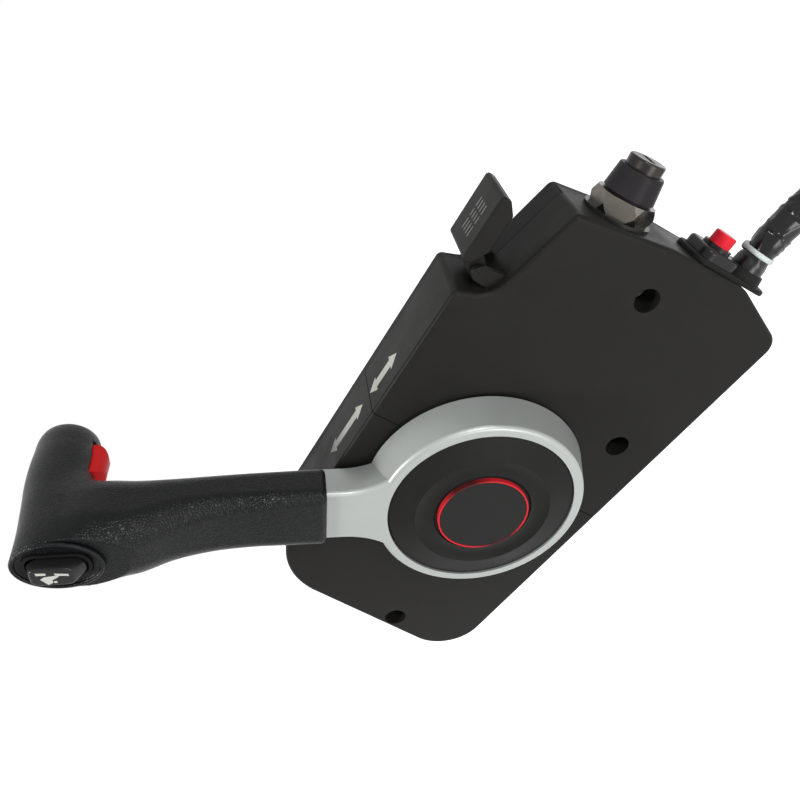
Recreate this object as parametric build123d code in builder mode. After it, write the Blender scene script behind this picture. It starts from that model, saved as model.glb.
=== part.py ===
"""Side-mount boat throttle and shift control: case, lever, grip, switches and gear train.

The row frame has +X along the top edge of the case towards the key switch, +Z up and -Y towards
the person who works the lever.  The origin is on the lever's axis, in the mounting face.
"height" below is the distance from the mounting face, along -Y.
"""
from build123d import *
from math import atan2, cos, degrees, pi, radians, sin, sqrt, tan
import os

os.makedirs("parts", exist_ok=True)

# ---------------------------------------------------------------- case
FACE_H = 60.0            # height of the front face
COVER_DEPTH = 30.0       # from the front face to the front covers' joint with the rear housing
SEAM_H = FACE_H - COVER_DEPTH
SEAM_STEP = 8.0          # how far that joint steps forward beyond the finger notch
NOTCH_SEAM_H = SEAM_H + SEAM_STEP
NOTCH_SEAM_X = 82.0      # where that step starts
END_LAP = 6.0            # how far it runs down past the aft end's top corner
FLANGE_T = 4.0           # thickness of the rear housing's flange
FLANGE_H = SEAM_H - FLANGE_T
REAR_INSET = 13.0        # how far the rear housing's body stands in from the flange
WALL = 2.6               # case wall
FLOOR = 3.0              # rear housing floor
FACE_WALL = 2.6          # front face thickness
FACE_EDGE_R = 1.8        # rounding of the front rim
REAR_EDGE_R = 2.0        # rounding of the rear body's back rim
COVER_GAP = 0.4          # visible joint between the two front covers
SEAM_TOP_X = 15.6        # where that joint crosses the top edge
SEAM_BOTTOM_X = 4.0      # and the bottom edge

STRIP_Z = 61.5           # top edge
STRIP_END_X = 78.8       # aft end of the top edge, where the finger notch starts
NOTCH_X, NOTCH_Z = 83.5, 46.8        # inner corner of the finger notch
END_X, END_Z = 125.2, 37.4           # top corner of the aft end
KEY_TILT = 7.8           # lean of the key switch and of the end facet that carries it, degrees
KEY_FACET = 45.0         # length of that facet
AFT_X, AFT_LOW_Z = 131.6, -46.0      # foot of the upright part of the aft end
AFT_FOOT_X = 119.6       # lower aft corner
BOTTOM_AFT_Z = -78.4     # bottom edge at that corner
FORE_FOOT_X, FORE_FOOT_Z = -114.6, -61.6
FORE_TOP_X = -88.0       # fore end carried up to the top edge

# ---------------------------------------------------------------- fits
RUN_FIT = 0.05           # radial clearance of a running shaft
SEAT_FIT = 0.02          # clearance of a piece seated in its place
SLIDE_FIT = 0.3          # clearance round a sliding or swinging piece
BOSS_CLEARANCE = 1.2     # round the lever's boss

# ---------------------------------------------------------------- fixings
BOLT_HOLES = [(109.5, -10.6), (45.4, -49.9), (-97.2, -15.6)]
BOLT_R = 3.3             # clearance hole of an M6 bolt
SLEEVE_R = 5.0           # steel sleeve round each bolt
COUNTERBORE_R = 5.4
COUNTERBORE = 12.0       # its depth: the bolt's head rests on the sleeve there
SLEEVE_TOP_H = FACE_H - COUNTERBORE
COLUMN_R = 7.2           # moulded column round each sleeve
COVER_SCREWS = [(-60, 54.5), (52, 54.5), (118, 30), (121, -60), (22, -64.5), (-84, -55.5)]
SCREW_R, SCREW_HEAD_R, SCREW_HEAD = 1.5, 2.9, 2.4
SCREW_LENGTH = 14.0
SCREW_BOSS_R = 3.6
SCREW_CLEARANCE = 1.0    # past the screw's tip

# ---------------------------------------------------------------- lever
LEAN = 26.4              # forward lean of the lever in neutral, degrees
HUB_GAP, HUB_T = 2.0, 16.0           # clear of the case, and the hub's thickness
HUB_BASE_H = FACE_H + HUB_GAP
HUB_FRONT_H = HUB_BASE_H + HUB_T
HUB_BASE_R, HUB_FRONT_R = 50.0, 45.8
HUB_EDGE_R = 2.2
DISH_R = 41.5            # black hub cover
DISH_DEPTH = 9.0         # down to the floor of the dish in the casting
WEB_TOP_H = HUB_FRONT_H - DISH_DEPTH
ARM_W = 27.0             # width of the arm where the grip starts
ARM_BASE_H = HUB_BASE_H + 0.5
FLARE_R = 34.0           # sweep from the hub's rim into the arm
GRIP_START = 69.5        # distance from the axis where the grip starts
TANG_W, TANG_T, TANG_END = 19.0, 10.0, 152.0
ARM_MID_H = HUB_BASE_H + 8.2         # middle of the arm's thickness
TANG_ROOT = 10.0         # length of the tang inside the arm
LEVER_BOSS_R = 10.5
LEVER_BOSS_H = FACE_H - FACE_WALL    # the boss reaches down through the cover
LEVER_BOLT_R, BOLT_LENGTH = 2.5, 10.0
LEVER_BOLT_HEAD_R = 9.5
POCKETS, POCKET_DEPTH = 6, 4.0       # lightening pockets in the hub's back
POCKET_IN_RIM, POCKET_OUT_RIM = 4.0, 5.0
POCKET_IN_HALF, POCKET_OUT_HALF = 16.0, 24.0     # degrees

# ---------------------------------------------------------------- hub cover and cap
GROOVE_OUT_R, GROOVE_IN_R, WELL_R = 30.0, 21.7, 21.0
COVER_TOP_H = HUB_FRONT_H - 0.6      # the cover's rim
COVER_CREST_H = HUB_FRONT_H + 2.4    # outer edge of its groove
GROOVE_H = HUB_FRONT_H + 1.2         # bottom of the groove
LIP_H = HUB_FRONT_H + 1.8            # lip round the cap
WELL_H = HUB_FRONT_H + 1.1           # seat of the cap
COVER_T = 2.2
COVER_EDGE = 0.6         # bevel round its rim
WELL_T = 1.2             # thickness under the cap
CAP_R, CAP_T = 20.0, 2.1
RING_T, RING_PROUD = 0.7, 0.1
CAP_EDGE_R = 0.3
BOLT_CLEARANCE = 0.4     # between the lever's bolt and the cover

# ---------------------------------------------------------------- grip
BAR_L = 179.0            # cross bar's axis, from the lever's axis
BAR_SECTIONS = [         # height from the arm's middle, half width, half thickness, shift outwards
    (-51.2, 9.8, 10.4, 2.0),
    (-46.2, 11.6, 12.8, 1.8),
    (-34.2, 13.0, 14.2, 1.0),
    (-16.2, 13.8, 14.4, 0.0),
    (-0.2, 14.2, 15.0, -2.8),
    (13.8, 13.6, 16.2, -5.6),
    (25.6, 12.6, 17.6, -7.6),
]
SLEEVE_SECTIONS = [      # distance along the lever, half width, half depth, rise, corner radius
    (67.5, 15.4, 9.9, 1.0, 5.0),
    (84.0, 15.3, 10.1, 1.2, 5.7),
    (100.0, 15.2, 10.4, 1.4, 6.5),
    (116.0, 15.3, 11.5, 2.5, 8.0),
    (130.0, 15.5, 13.8, 4.6, 10.0),
    (144.0, 16.0, 17.4, 7.8, 12.0),
    (157.0, 16.2, 18.6, 8.0, 13.0),
    (170.0, 13.8, 17.6, 8.0, 13.0),
]
GRIP_LAP = 5.0           # depth of the seat cut in the grip's end
BAR_END_R = 5.0          # rounding of the bar's inner end
BAR_RIM_R = 2.0          # rounding of its outer end
TRIM_L, TRIM_W = 26.0, 13.0          # opening for the trim switch in the bar's end
TRIM_DEPTH = 12.0
TRIM_CORNER_R = 6.0
TRIM_RIM = 1.4           # bezel's width
ROCKER_PROUD = 5.0       # rocker's height above the bar's end
ROCKER_T = 6.8
ROCKER_LEAN = 2.5        # how far its ends lean in towards the top
ROCKER_DIP = 0.9         # depth of the valley between its two pads
ROCKER_END_GAP = 0.6
ROCKER_KEEL_W = 3.2      # width of the flat over its pivot
ROCKER_EDGE_R = 0.5
ROCKER_PIN_R = 1.2
ROCKER_KEEL = 1.8        # from its underside to the pin's axis
BEZEL_SUNK = 0.6         # bezel's face below the bar's end
TRUNNION = 1.2           # how far the rocker's pin enters the bezel

# ---------------------------------------------------------------- lock trigger
TRIGGER_W, TRIGGER_LENGTH = 12.0, 18.0
TRIGGER_DEPTH = 8.7      # from its front to its back
TRIGGER_REACH = 17.2     # from the bar's axis to its front
TRIGGER_DROP = 20.2      # from the arm's middle to its outer end
TRIGGER_TOP_H = ARM_MID_H - TRIGGER_DROP
TRIGGER_LOW_H = TRIGGER_TOP_H - TRIGGER_LENGTH
TRIGGER_TIP_L = BAR_L - TRIGGER_REACH
TRIGGER_BACK_L = TRIGGER_TIP_L + TRIGGER_DEPTH
TRIGGER_TRAVEL = 5.0
TRIGGER_FRONT_R, TRIGGER_BACK_R = 5.4, 2.0
TRIGGER_POST, TRIGGER_POST_W = 5.0, 6.0          # post that joins the trigger to its rod
TRIGGER_SLOT_LIP = 2.0   # how far the slot's mouth stands out past the trigger
ROD_R = 2.0
ROD_END_L = 46.0

# ---------------------------------------------------------------- shaft and gears
SHAFT_R = 7.0
SHAFT_LOW_H = FLOOR + SLIDE_FIT
SHAFT_TOP_H = WEB_TOP_H - SLIDE_FIT
BUSH_R = 9.0
BUSH_FLANGE_R, BUSH_FLANGE = 11.0, 2.0
PLATE_T = 3.0            # gear frame plate
COVER_ROOM = 2.0         # between the frame's screws and the front cover
SIDE_GAP = 1.5           # beside the gears and the friction drum
DRUM_R, DRUM_T = 15.0, 5.0
GEAR_T = 8.0
PLATE_H = FACE_H - FACE_WALL - COVER_ROOM - SCREW_HEAD - PLATE_T
DRUM_H = PLATE_H - SIDE_GAP - DRUM_T
GEAR_H = DRUM_H - SIDE_GAP - GEAR_T
MODULE = 2.0
DRIVE_TEETH, SHIFT_TEETH, THROTTLE_TEETH = 24, 18, 30
PRESSURE_ANGLE = 20.0
BACKLASH = 0.35
GEAR_HOLES, GEAR_HOLE_R, GEAR_HOLE_AT_R = 6, 3.2, 15.0
SHIFT_BEARING, THROTTLE_BEARING = 190.0, 20.0    # directions of the two driven gears, degrees
PIVOT_R = 4.0
HUB_R = 8.0
ARM_T, ARM_GAP = 4.0, 8.0            # cable arms, and their distance behind the gears
ARM_H = GEAR_H - ARM_GAP - ARM_T
CRANK_R = 26.0           # cable pin's distance from its pivot
CRANK_END_R = 4.0
CABLE_PIN_R = 2.5
CABLE_PIN_REACH = 10.0   # below the cable arm
CABLE_PIN_RIM, CABLE_PIN_HEAD = 1.0, 1.5
SHIFT_CRANK_ANGLE, THROTTLE_CRANK_ANGLE = -100.0, -45.0
BOSS_TOP_H = 8.0         # floor bosses under shaft and pivots
PILLARS = [(-62, 28), (20, 41), (-66, -38), (12, -40), (88, 12)]
PILLAR_R = 4.0
PLATE_OUTLINE = [(-71, 36), (4, 50), (64, 50), (97, 15), (62, -24), (14, -49), (-74, -46)]
PLATE_CORNER_R = 8.0
BOSS_WALL = 3.0          # round the bush and the pivots
PILLAR_WALL = 1.5
SHOE_T = 5.0
SHOE_ARC = 64.0
FRICTION_SCREW_R = 2.5
FRICTION_HEAD_R, FRICTION_HEAD = 3.8, 3.5
LUG_Z, LUG_W, LUG_DEPTH = 38.0, 14.0, 8.0        # lug that holds the friction screw
NEUTRAL_BODY = (11.0, 18.0, 7.0)
NEUTRAL_PLUNGER = (3.0, 4.0)
NEUTRAL_ANGLE = 165.0    # direction of the neutral switch from the shaft, degrees
NEUTRAL_GAP = 2.5        # between it and the friction drum
BUZZER_AT = (-22.0, 32.0)
BUZZER_R, BUZZER_T, BUZZER_EDGE_R = 10.5, 9.0, 1.2
BUZZER_MOUTH_R, BUZZER_MOUTH = 2.0, 2.0

# ---------------------------------------------------------------- switches
KEY_ALONG = 23.8         # from the facet's top corner down to the key switch
KEY_DEPTH = 17.4         # below the front face
KEY_NECK_R, KEY_BODY_R, KEY_BODY = 9.7, 12.0, 25.0
WASHER_R, WASHER_T = 14.0, 1.2
NUT_AF, NUT_T = 23.0, 7.2
BEZEL_BASE_R, BEZEL_TOP_R, BEZEL_TOP = 10.6, 9.2, 19.2
ROTOR_R, ROTOR_TOP, ROTOR_LOW = 7.4, 23.5, 12.0
KEY_SLOT = (9.0, 2.2, 8.0)
NUT_BEVEL = 20.0         # degrees
NUT_BEVEL_OUT = 0.6      # the bevel's circle, outside the nut's flats
BEZEL_STEP = 1.0
BEZEL_EDGE_R, ROTOR_EDGE_R = 0.7, 0.8
TERMINALS, TERMINAL = 5, (0.8, 6.0, 8.0)         # blades: thickness, width, length
TERMINAL_AT_R = 6.5

PLATE_TOP_Z, PLATE_FOOT_Z = -18.5, -60.0         # switch plate on the aft end
SWITCH_PLATE_T, SWITCH_PLATE_W = 2.0, 21.5
SWITCH_PLATE_SUNK = 3.5  # behind the front face
SWITCH_PLATE_TOP_H = FACE_H - SWITCH_PLATE_SUNK
SWITCH_PLATE_LOW_H = SWITCH_PLATE_TOP_H - SWITCH_PLATE_W
SWITCH_PLATE_CORNER_R, SWITCH_PLATE_EDGE_R = 7.0, 0.8
STOP_SUNK = 14.0         # from the front face to the stop switch's axis
STOP_Z, STOP_H = -31.0, FACE_H - STOP_SUNK
STOP_BLOCK = (19.0, 19.0, 4.2)
STOP_BLOCK_CORNER_R, STOP_BLOCK_EDGE_R = 5.0, 1.6
COLLAR_R, COLLAR = 6.2, 1.6
BUTTON_R, BUTTON_T = 4.7, 8.4
BUTTON_PROUD = 5.0       # above its collar
BUTTON_EDGE_R = 0.8
BUTTON_TRAVEL = 3.0
STOP_BODY_R, STOP_BODY = 8.0, 15.0

# ---------------------------------------------------------------- free throttle lever in the notch
FLAP_TOP_Z = 65.0
FLAP_START_X, FLAP_END_X = 90.0, 117.6
FLAP_T = 8.0
FLAP_W, FLAP_SUNK = 26.0, 2.5        # its width, and its distance below the front face
FLAP_TOP_H = FACE_H - FLAP_SUNK
FLAP_LOW_H = FLAP_TOP_H - FLAP_W
FLAP_LIP, FLAP_LIP_IN = 4.0, 0.4     # depth of its ends' upper edges, and their undercut
FLAP_TIP_SLOPE, FLAP_ROOT_SLOPE = 5.0, 7.0
FLAP_CORNER_R, FLAP_EDGE_R = 1.6, 1.0
FLAP_PIN_X, FLAP_PIN_Z = 87.5, 54.5
FLAP_PIN_R, KNUCKLE_R = 1.5, 3.6
KNUCKLE_INSET = 5.0      # from each side of the flap
KNUCKLE_LOW_H, KNUCKLE_TOP_H = FLAP_LOW_H + KNUCKLE_INSET, FLAP_TOP_H - KNUCKLE_INSET
KNUCKLE_ROOT_R, KNUCKLE_ROOT_X = 2.4, 5.0        # where the knuckle runs into the flap
LUG_T, LUG_WALL = 3.0, 1.6
LUG_FOOT, LUG_SUNK = 8.0, 2.2        # the lug's foot, and its depth in the case

# ---------------------------------------------------------------- harness
HARNESS_R = 7.0
HARNESS_SUNK = 15.0      # from the front face to its axis
HARNESS_Z, HARNESS_H = -50.5, FACE_H - HARNESS_SUNK
GLAND_R, GLAND, GLAND_TAPER = 8.8, 3.6, 12.0
TIE_REACH = 7.2          # from the gland to the middle of the tie
TIE_WIDTH, TIE_T = 3.6, 1.3
TIE_HEAD = (5.4, 4.4, 1.0)           # length, width and corner radius of its buckle
PLUG = (34.0, 22.0, 46.0)            # width, thickness and length
PLUG_NECK = 11.5         # length of the plug's taper
PLUG_NECK_RIM = 2.0      # the taper's wall round the harness
PLUG_SHOULDER = 2.0      # how far the plug's shell stands out past the taper
PLUG_CORNER_R, PLUG_MOUTH_R = 3.0, 2.0
PLUG_WALL, PLUG_MOUTH = 2.0, 12.0
PIN_PITCH, PIN_R = 5.5, 1.9
PIN_COUNT = (3, 4)
LATCH = (12.0, 3.0, 20.7)            # width, thickness and length of the plug's latch
LATCH_START = 18.4

# ---------------------------------------------------------------- cable entry
ENTRY_LOW_Z, ENTRY_TOP_Z = -46.0, -20.0
ENTRY_LOW_H, ENTRY_TOP_H = 6.0, 20.0
ENTRY_MID_Z, ENTRY_MID_H = (ENTRY_LOW_Z + ENTRY_TOP_Z) / 2, (ENTRY_LOW_H + ENTRY_TOP_H) / 2
ENTRY_CORNER_R = 5.0
CLAMP_X, CLAMP_LENGTH = 84.0, 10.0
CABLE_R, CABLE_PITCH = 4.2, 13.0


def level(height):
    """Plane parallel to the mounting face, facing the user, with local x along X and y up."""
    return Plane.XZ.offset(height)


LEVER_AXIS = (-sin(radians(LEAN)), 0, cos(radians(LEAN)))
LEVER_ACROSS = (cos(radians(LEAN)), 0, sin(radians(LEAN)))


def lever_level(height):
    """The same, turned so that local y runs out along the lever."""
    return Plane(origin=(0, -height, 0), x_dir=LEVER_ACROSS, z_dir=(0, -1, 0))


def lever_section(distance):
    """Plane across the lever: local x across it, local y is height."""
    return Plane(
        origin=tuple(distance * a for a in LEVER_AXIS),
        x_dir=tuple(-a for a in LEVER_ACROSS),
        z_dir=LEVER_AXIS,
    )


def save(builder, label):
    """Label a finished piece and write it."""
    builder.part.label = label
    export_step(builder.part, f"parts/{label}.step")


# ---------------------------------------------------------------- case outline
KNEE_X = END_X + KEY_FACET * sin(radians(KEY_TILT))
KNEE_Z = END_Z - KEY_FACET * cos(radians(KEY_TILT))
OUTLINE = [
    ((FORE_TOP_X, STRIP_Z), 36.0),
    ((STRIP_END_X, STRIP_Z), 2.6),
    ((NOTCH_X, NOTCH_Z), 13.0),
    ((END_X, END_Z), 3.2),
    ((KNEE_X, KNEE_Z), 30.0),
    ((AFT_X, AFT_LOW_Z), 12.0),
    ((AFT_FOOT_X, BOTTOM_AFT_Z), 8.0),
    ((FORE_FOOT_X, FORE_FOOT_Z), 22.0),
]
with BuildSketch() as case_outline:
    with BuildLine():
        FilletPolyline(*[p for p, _ in OUTLINE], radius=[r for _, r in OUTLINE], close=True)
    make_face()
with BuildSketch() as case_inside:
    add(case_outline.sketch)
    offset(amount=-WALL, mode=Mode.REPLACE)
with BuildSketch() as body_outline:
    add(case_outline.sketch)
    offset(amount=-REAR_INSET, mode=Mode.REPLACE)
with BuildSketch() as body_inside:
    add(case_outline.sketch)
    offset(amount=-REAR_INSET - WALL, mode=Mode.REPLACE)


# ---------------------------------------------------------------- front covers
CAVITY_TOP_H = FACE_H - FACE_WALL
COVER_HOLE_R = LEVER_BOSS_R + BOSS_CLEARANCE
KEY_PLANE = Plane(
    origin=(END_X + KEY_ALONG * sin(radians(KEY_TILT)), KEY_DEPTH - FACE_H,
            END_Z - KEY_ALONG * cos(radians(KEY_TILT))),
    x_dir=(0, -1, 0),
    z_dir=(cos(radians(KEY_TILT)), 0, sin(radians(KEY_TILT))),
)
SWITCH_PLATE_MID = (SWITCH_PLATE_LOW_H + SWITCH_PLATE_TOP_H) / 2
NOTCH_LOW_Z = END_Z - END_LAP


def aft_level(x):
    """Plane across the case at x, facing aft, with local x up and y along height."""
    return Plane(origin=(x, 0, 0), x_dir=(0, 0, 1), z_dir=(1, 0, 0))


def flap_lug():
    """Face of a lug that stands on the floor of the notch and holds the flap's pin."""
    with BuildSketch() as lug:
        with Locations((FLAP_PIN_X, FLAP_PIN_Z)):
            Circle(FLAP_PIN_R + LUG_WALL)
        with Locations((FLAP_PIN_X, NOTCH_Z - LUG_SUNK)):
            Rectangle(LUG_FOOT, 1)
        make_hull()
        with Locations((FLAP_PIN_X, FLAP_PIN_Z)):
            Circle(FLAP_PIN_R, mode=Mode.SUBTRACT)
    return lug.sketch


with BuildPart() as front_cover:
    with BuildSketch(level(SEAM_H)):
        add(case_outline.sketch)
    extrude(amount=FACE_H - SEAM_H)
    fillet(front_cover.faces().sort_by(Axis.Y)[0].edges(), FACE_EDGE_R)
    with BuildSketch(level(SEAM_H)):
        add(case_inside.sketch)
    extrude(amount=CAVITY_TOP_H - SEAM_H, mode=Mode.SUBTRACT)
    # the rear housing stands forward beyond the notch
    with BuildSketch(level(SEAM_H)):
        with Locations((NOTCH_SEAM_X, NOTCH_LOW_Z)):
            Rectangle(END_X - NOTCH_SEAM_X, STRIP_Z - NOTCH_LOW_Z, align=(Align.MIN, Align.MIN))
    extrude(amount=NOTCH_SEAM_H - SEAM_H, mode=Mode.SUBTRACT)
    # columns for the mounting bolts and bosses for the cover screws
    with BuildSketch(level(SEAM_H)):
        with Locations(*BOLT_HOLES):
            Circle(COLUMN_R)
        with Locations(*COVER_SCREWS):
            Circle(SCREW_BOSS_R)
        add(case_outline.sketch, mode=Mode.INTERSECT)
    extrude(amount=CAVITY_TOP_H - SEAM_H)
    with BuildSketch(level(SEAM_H)):
        with Locations(*BOLT_HOLES):
            Circle(SLEEVE_R + SEAT_FIT)
    extrude(amount=FACE_H - SEAM_H, mode=Mode.SUBTRACT)
    with BuildSketch(level(SLEEVE_TOP_H)):
        with Locations(*BOLT_HOLES):
            Circle(COUNTERBORE_R)
    extrude(amount=FACE_H - SLEEVE_TOP_H, mode=Mode.SUBTRACT)
    with BuildSketch(level(SEAM_H)):
        with Locations(*COVER_SCREWS):
            Circle(SCREW_R + SEAT_FIT)
    extrude(amount=SCREW_LENGTH + FLANGE_H - SEAM_H + SCREW_CLEARANCE, mode=Mode.SUBTRACT)
    with BuildSketch(level(KNUCKLE_TOP_H + SLIDE_FIT)):
        add(flap_lug())
    extrude(amount=LUG_T)
    # opening for the lever's boss
    with BuildSketch(level(CAVITY_TOP_H)):
        Circle(COVER_HOLE_R)
    extrude(amount=FACE_WALL, mode=Mode.SUBTRACT)
    # holes in the aft end for the key switch, the stop switch and the harness
    with BuildSketch(KEY_PLANE):
        Circle(KEY_NECK_R + SEAT_FIT)
    extrude(amount=2 * WALL, both=True, mode=Mode.SUBTRACT)
    with BuildSketch(aft_level(AFT_X)):
        with Locations((STOP_Z, STOP_H)):
            Circle(STOP_BODY_R + SEAT_FIT)
        with Locations((HARNESS_Z, HARNESS_H)):
            Circle(HARNESS_R)
    extrude(amount=-4 * WALL, mode=Mode.SUBTRACT)

SEAM_PLANE = Plane(
    origin=(SEAM_TOP_X, 0, STRIP_Z),
    x_dir=(0, -1, 0),
    z_dir=Vector(STRIP_Z - BOTTOM_AFT_Z, 0, SEAM_BOTTOM_X - SEAM_TOP_X).normalized(),
)
with BuildPart() as front_cover_aft:
    add(front_cover.part)
    split(bisect_by=SEAM_PLANE.offset(COVER_GAP / 2), keep=Keep.TOP)
save(front_cover_aft, "front_cover_aft")

with BuildPart() as front_cover_fore:
    add(front_cover.part)
    split(bisect_by=SEAM_PLANE.offset(-COVER_GAP / 2), keep=Keep.BOTTOM)
save(front_cover_fore, "front_cover_fore")

# ---------------------------------------------------------------- rear housing
SHIFT_AT = tuple(
    MODULE * (DRIVE_TEETH + SHIFT_TEETH) / 2 * f(radians(SHIFT_BEARING)) for f in (cos, sin)
)
THROTTLE_AT = tuple(
    MODULE * (DRIVE_TEETH + THROTTLE_TEETH) / 2 * f(radians(THROTTLE_BEARING)) for f in (cos, sin)
)

BODY_HOLES, FORE_HOLE = BOLT_HOLES[:2], BOLT_HOLES[2]
with BuildPart() as rear_housing:
    with BuildSketch(level(0)):
        add(body_outline.sketch)
    extrude(amount=FLANGE_H)
    fillet(rear_housing.faces().sort_by(Axis.Y)[-1].edges(), REAR_EDGE_R)
    # columns down to the wall for the mounting bolts, the fore one outside the body
    with BuildSketch(level(0)):
        with Locations(*BOLT_HOLES):
            Circle(COLUMN_R)
        with Locations(FORE_HOLE):
            Rectangle(2 * COLUMN_R, 2 * SLEEVE_R + WALL, align=(Align.MIN, Align.CENTER))
        add(case_outline.sketch, mode=Mode.INTERSECT)
    extrude(amount=FLANGE_H)
    with BuildSketch(level(FLOOR)):
        add(body_inside.sketch)
        with Locations(*BOLT_HOLES):
            Circle(COLUMN_R, mode=Mode.SUBTRACT)
    extrude(amount=FLANGE_H - FLOOR, mode=Mode.SUBTRACT)
    with BuildSketch(level(FLANGE_H)):
        with Locations(*BODY_HOLES):
            Circle(COLUMN_R)
    extrude(amount=SEAM_H - FLANGE_H)
    with BuildSketch(level(0)):
        Circle(BUSH_R + BOSS_WALL)
        with Locations(SHIFT_AT, THROTTLE_AT):
            Circle(PIVOT_R + BOSS_WALL)
        with Locations(*PILLARS):
            Circle(PILLAR_R + PILLAR_WALL)
    extrude(amount=BOSS_TOP_H)
    with BuildSketch(level(FLOOR)):
        Circle(BUSH_R + SEAT_FIT)
        with Locations(SHIFT_AT, THROTTLE_AT):
            Circle(PIVOT_R + SEAT_FIT)
        with Locations(*PILLARS):
            Circle(PILLAR_R + SEAT_FIT)
    extrude(amount=BOSS_TOP_H, mode=Mode.SUBTRACT)
    with BuildSketch(level(0)):
        with Locations(*BOLT_HOLES):
            Circle(SLEEVE_R + SEAT_FIT)
    extrude(amount=SEAM_H, mode=Mode.SUBTRACT)
    # the control cables come in through the aft wall
    with BuildSketch(aft_level(AFT_X - REAR_INSET - 2 * WALL)):
        with Locations((ENTRY_MID_Z, ENTRY_MID_H)):
            RectangleRounded(ENTRY_TOP_Z - ENTRY_LOW_Z, ENTRY_TOP_H - ENTRY_LOW_H, ENTRY_CORNER_R)
    extrude(amount=4 * WALL, mode=Mode.SUBTRACT)
save(rear_housing, "rear_housing")

with BuildPart() as rear_flange:
    with BuildSketch(level(FLANGE_H)):
        add(case_outline.sketch)
        add(body_inside.sketch, mode=Mode.SUBTRACT)
        with Locations(*BODY_HOLES):
            Circle(COLUMN_R + SEAT_FIT, mode=Mode.SUBTRACT)
        with Locations(FORE_HOLE):
            Circle(SLEEVE_R + SEAT_FIT, mode=Mode.SUBTRACT)
        with Locations(*COVER_SCREWS):
            Circle(SCREW_R + SEAT_FIT, mode=Mode.SUBTRACT)
    extrude(amount=SEAM_H - FLANGE_H)
    # it stands forward beyond the notch
    with BuildSketch(level(SEAM_H)):
        add(case_outline.sketch)
        add(case_inside.sketch, mode=Mode.SUBTRACT)
        with Locations((NOTCH_SEAM_X + SLIDE_FIT, NOTCH_LOW_Z + SLIDE_FIT)):
            Rectangle(END_X - NOTCH_SEAM_X - 2 * SLIDE_FIT, STRIP_Z - NOTCH_LOW_Z,
                      align=(Align.MIN, Align.MIN), mode=Mode.INTERSECT)
    extrude(amount=NOTCH_SEAM_H - SEAM_H - SLIDE_FIT)
    with BuildSketch(level(KNUCKLE_LOW_H - SLIDE_FIT - LUG_T)):
        add(flap_lug())
    extrude(amount=LUG_T)
save(rear_flange, "rear_flange")

with BuildPart() as mounting_sleeves:
    with BuildSketch(level(0)):
        with Locations(*BOLT_HOLES):
            Circle(SLEEVE_R)
            Circle(BOLT_R, mode=Mode.SUBTRACT)
    extrude(amount=SLEEVE_TOP_H)
save(mounting_sleeves, "mounting_sleeves")

with BuildPart() as cover_screws:
    with BuildSketch(level(FLANGE_H - SCREW_HEAD)):
        with Locations(*COVER_SCREWS):
            Circle(SCREW_HEAD_R)
    extrude(amount=SCREW_HEAD)
    with BuildSketch(level(FLANGE_H)):
        with Locations(*COVER_SCREWS):
            Circle(SCREW_R)
    extrude(amount=SCREW_LENGTH)
save(cover_screws, "cover_screws")

# ---------------------------------------------------------------- gear frame
with BuildPart() as frame_pillars:
    with BuildSketch(level(FLOOR)):
        with Locations(*PILLARS):
            Circle(PILLAR_R)
    extrude(amount=PLATE_H - FLOOR)
save(frame_pillars, "frame_pillars")

with BuildPart() as frame_plate:
    with BuildSketch(level(PLATE_H)):
        with BuildLine():
            FilletPolyline(*PLATE_OUTLINE, radius=PLATE_CORNER_R, close=True)
        make_face()
        Circle(BUSH_R + SEAT_FIT, mode=Mode.SUBTRACT)
        with Locations(*PILLARS):
            Circle(SCREW_R + SEAT_FIT, mode=Mode.SUBTRACT)
        with Locations(SHIFT_AT, THROTTLE_AT):
            Circle(PIVOT_R + SEAT_FIT, mode=Mode.SUBTRACT)
    extrude(amount=PLATE_T)
    with BuildSketch(level(PLATE_H - LUG_DEPTH)):
        with Locations((0, LUG_Z)):
            Rectangle(LUG_W, LUG_DEPTH)
    extrude(amount=LUG_DEPTH)
    with BuildSketch(Plane.XY.offset(LUG_Z)):
        with Locations((0, LUG_DEPTH / 2 - PLATE_H)):
            Circle(FRICTION_SCREW_R + SEAT_FIT)
    extrude(amount=LUG_DEPTH, both=True, mode=Mode.SUBTRACT)
save(frame_plate, "frame_plate")

with BuildPart() as frame_screws:
    with BuildSketch(level(PLATE_H + PLATE_T)):
        with Locations(*PILLARS):
            Circle(SCREW_HEAD_R)
    extrude(amount=SCREW_HEAD)
    with BuildSketch(level(PLATE_H)):
        with Locations(*PILLARS):
            Circle(SCREW_R)
    extrude(amount=PLATE_T)
save(frame_screws, "frame_screws")

with BuildPart() as pivot_pins:
    with BuildSketch(level(FLOOR)):
        with Locations(SHIFT_AT, THROTTLE_AT):
            Circle(PIVOT_R)
    extrude(amount=PLATE_H + PLATE_T - FLOOR)
save(pivot_pins, "pivot_pins")

with BuildPart() as rear_bush:
    with BuildSketch(level(FLOOR)):
        Circle(BUSH_R)
        Circle(SHAFT_R + RUN_FIT, mode=Mode.SUBTRACT)
    extrude(amount=BOSS_TOP_H + BUSH_FLANGE - FLOOR)
save(rear_bush, "rear_bush")

with BuildPart() as front_bush:
    with BuildSketch(level(PLATE_H)):
        Circle(BUSH_R)
    extrude(amount=PLATE_T)
    with BuildSketch(level(PLATE_H + PLATE_T)):
        Circle(BUSH_FLANGE_R)
    extrude(amount=BUSH_FLANGE)
    with BuildSketch(level(PLATE_H)):
        Circle(SHAFT_R + RUN_FIT)
    extrude(amount=PLATE_T + BUSH_FLANGE, mode=Mode.SUBTRACT)
save(front_bush, "front_bush")

# ---------------------------------------------------------------- friction brake and neutral switch
SHOE_IN_R = DRUM_R + SLIDE_FIT

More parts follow.
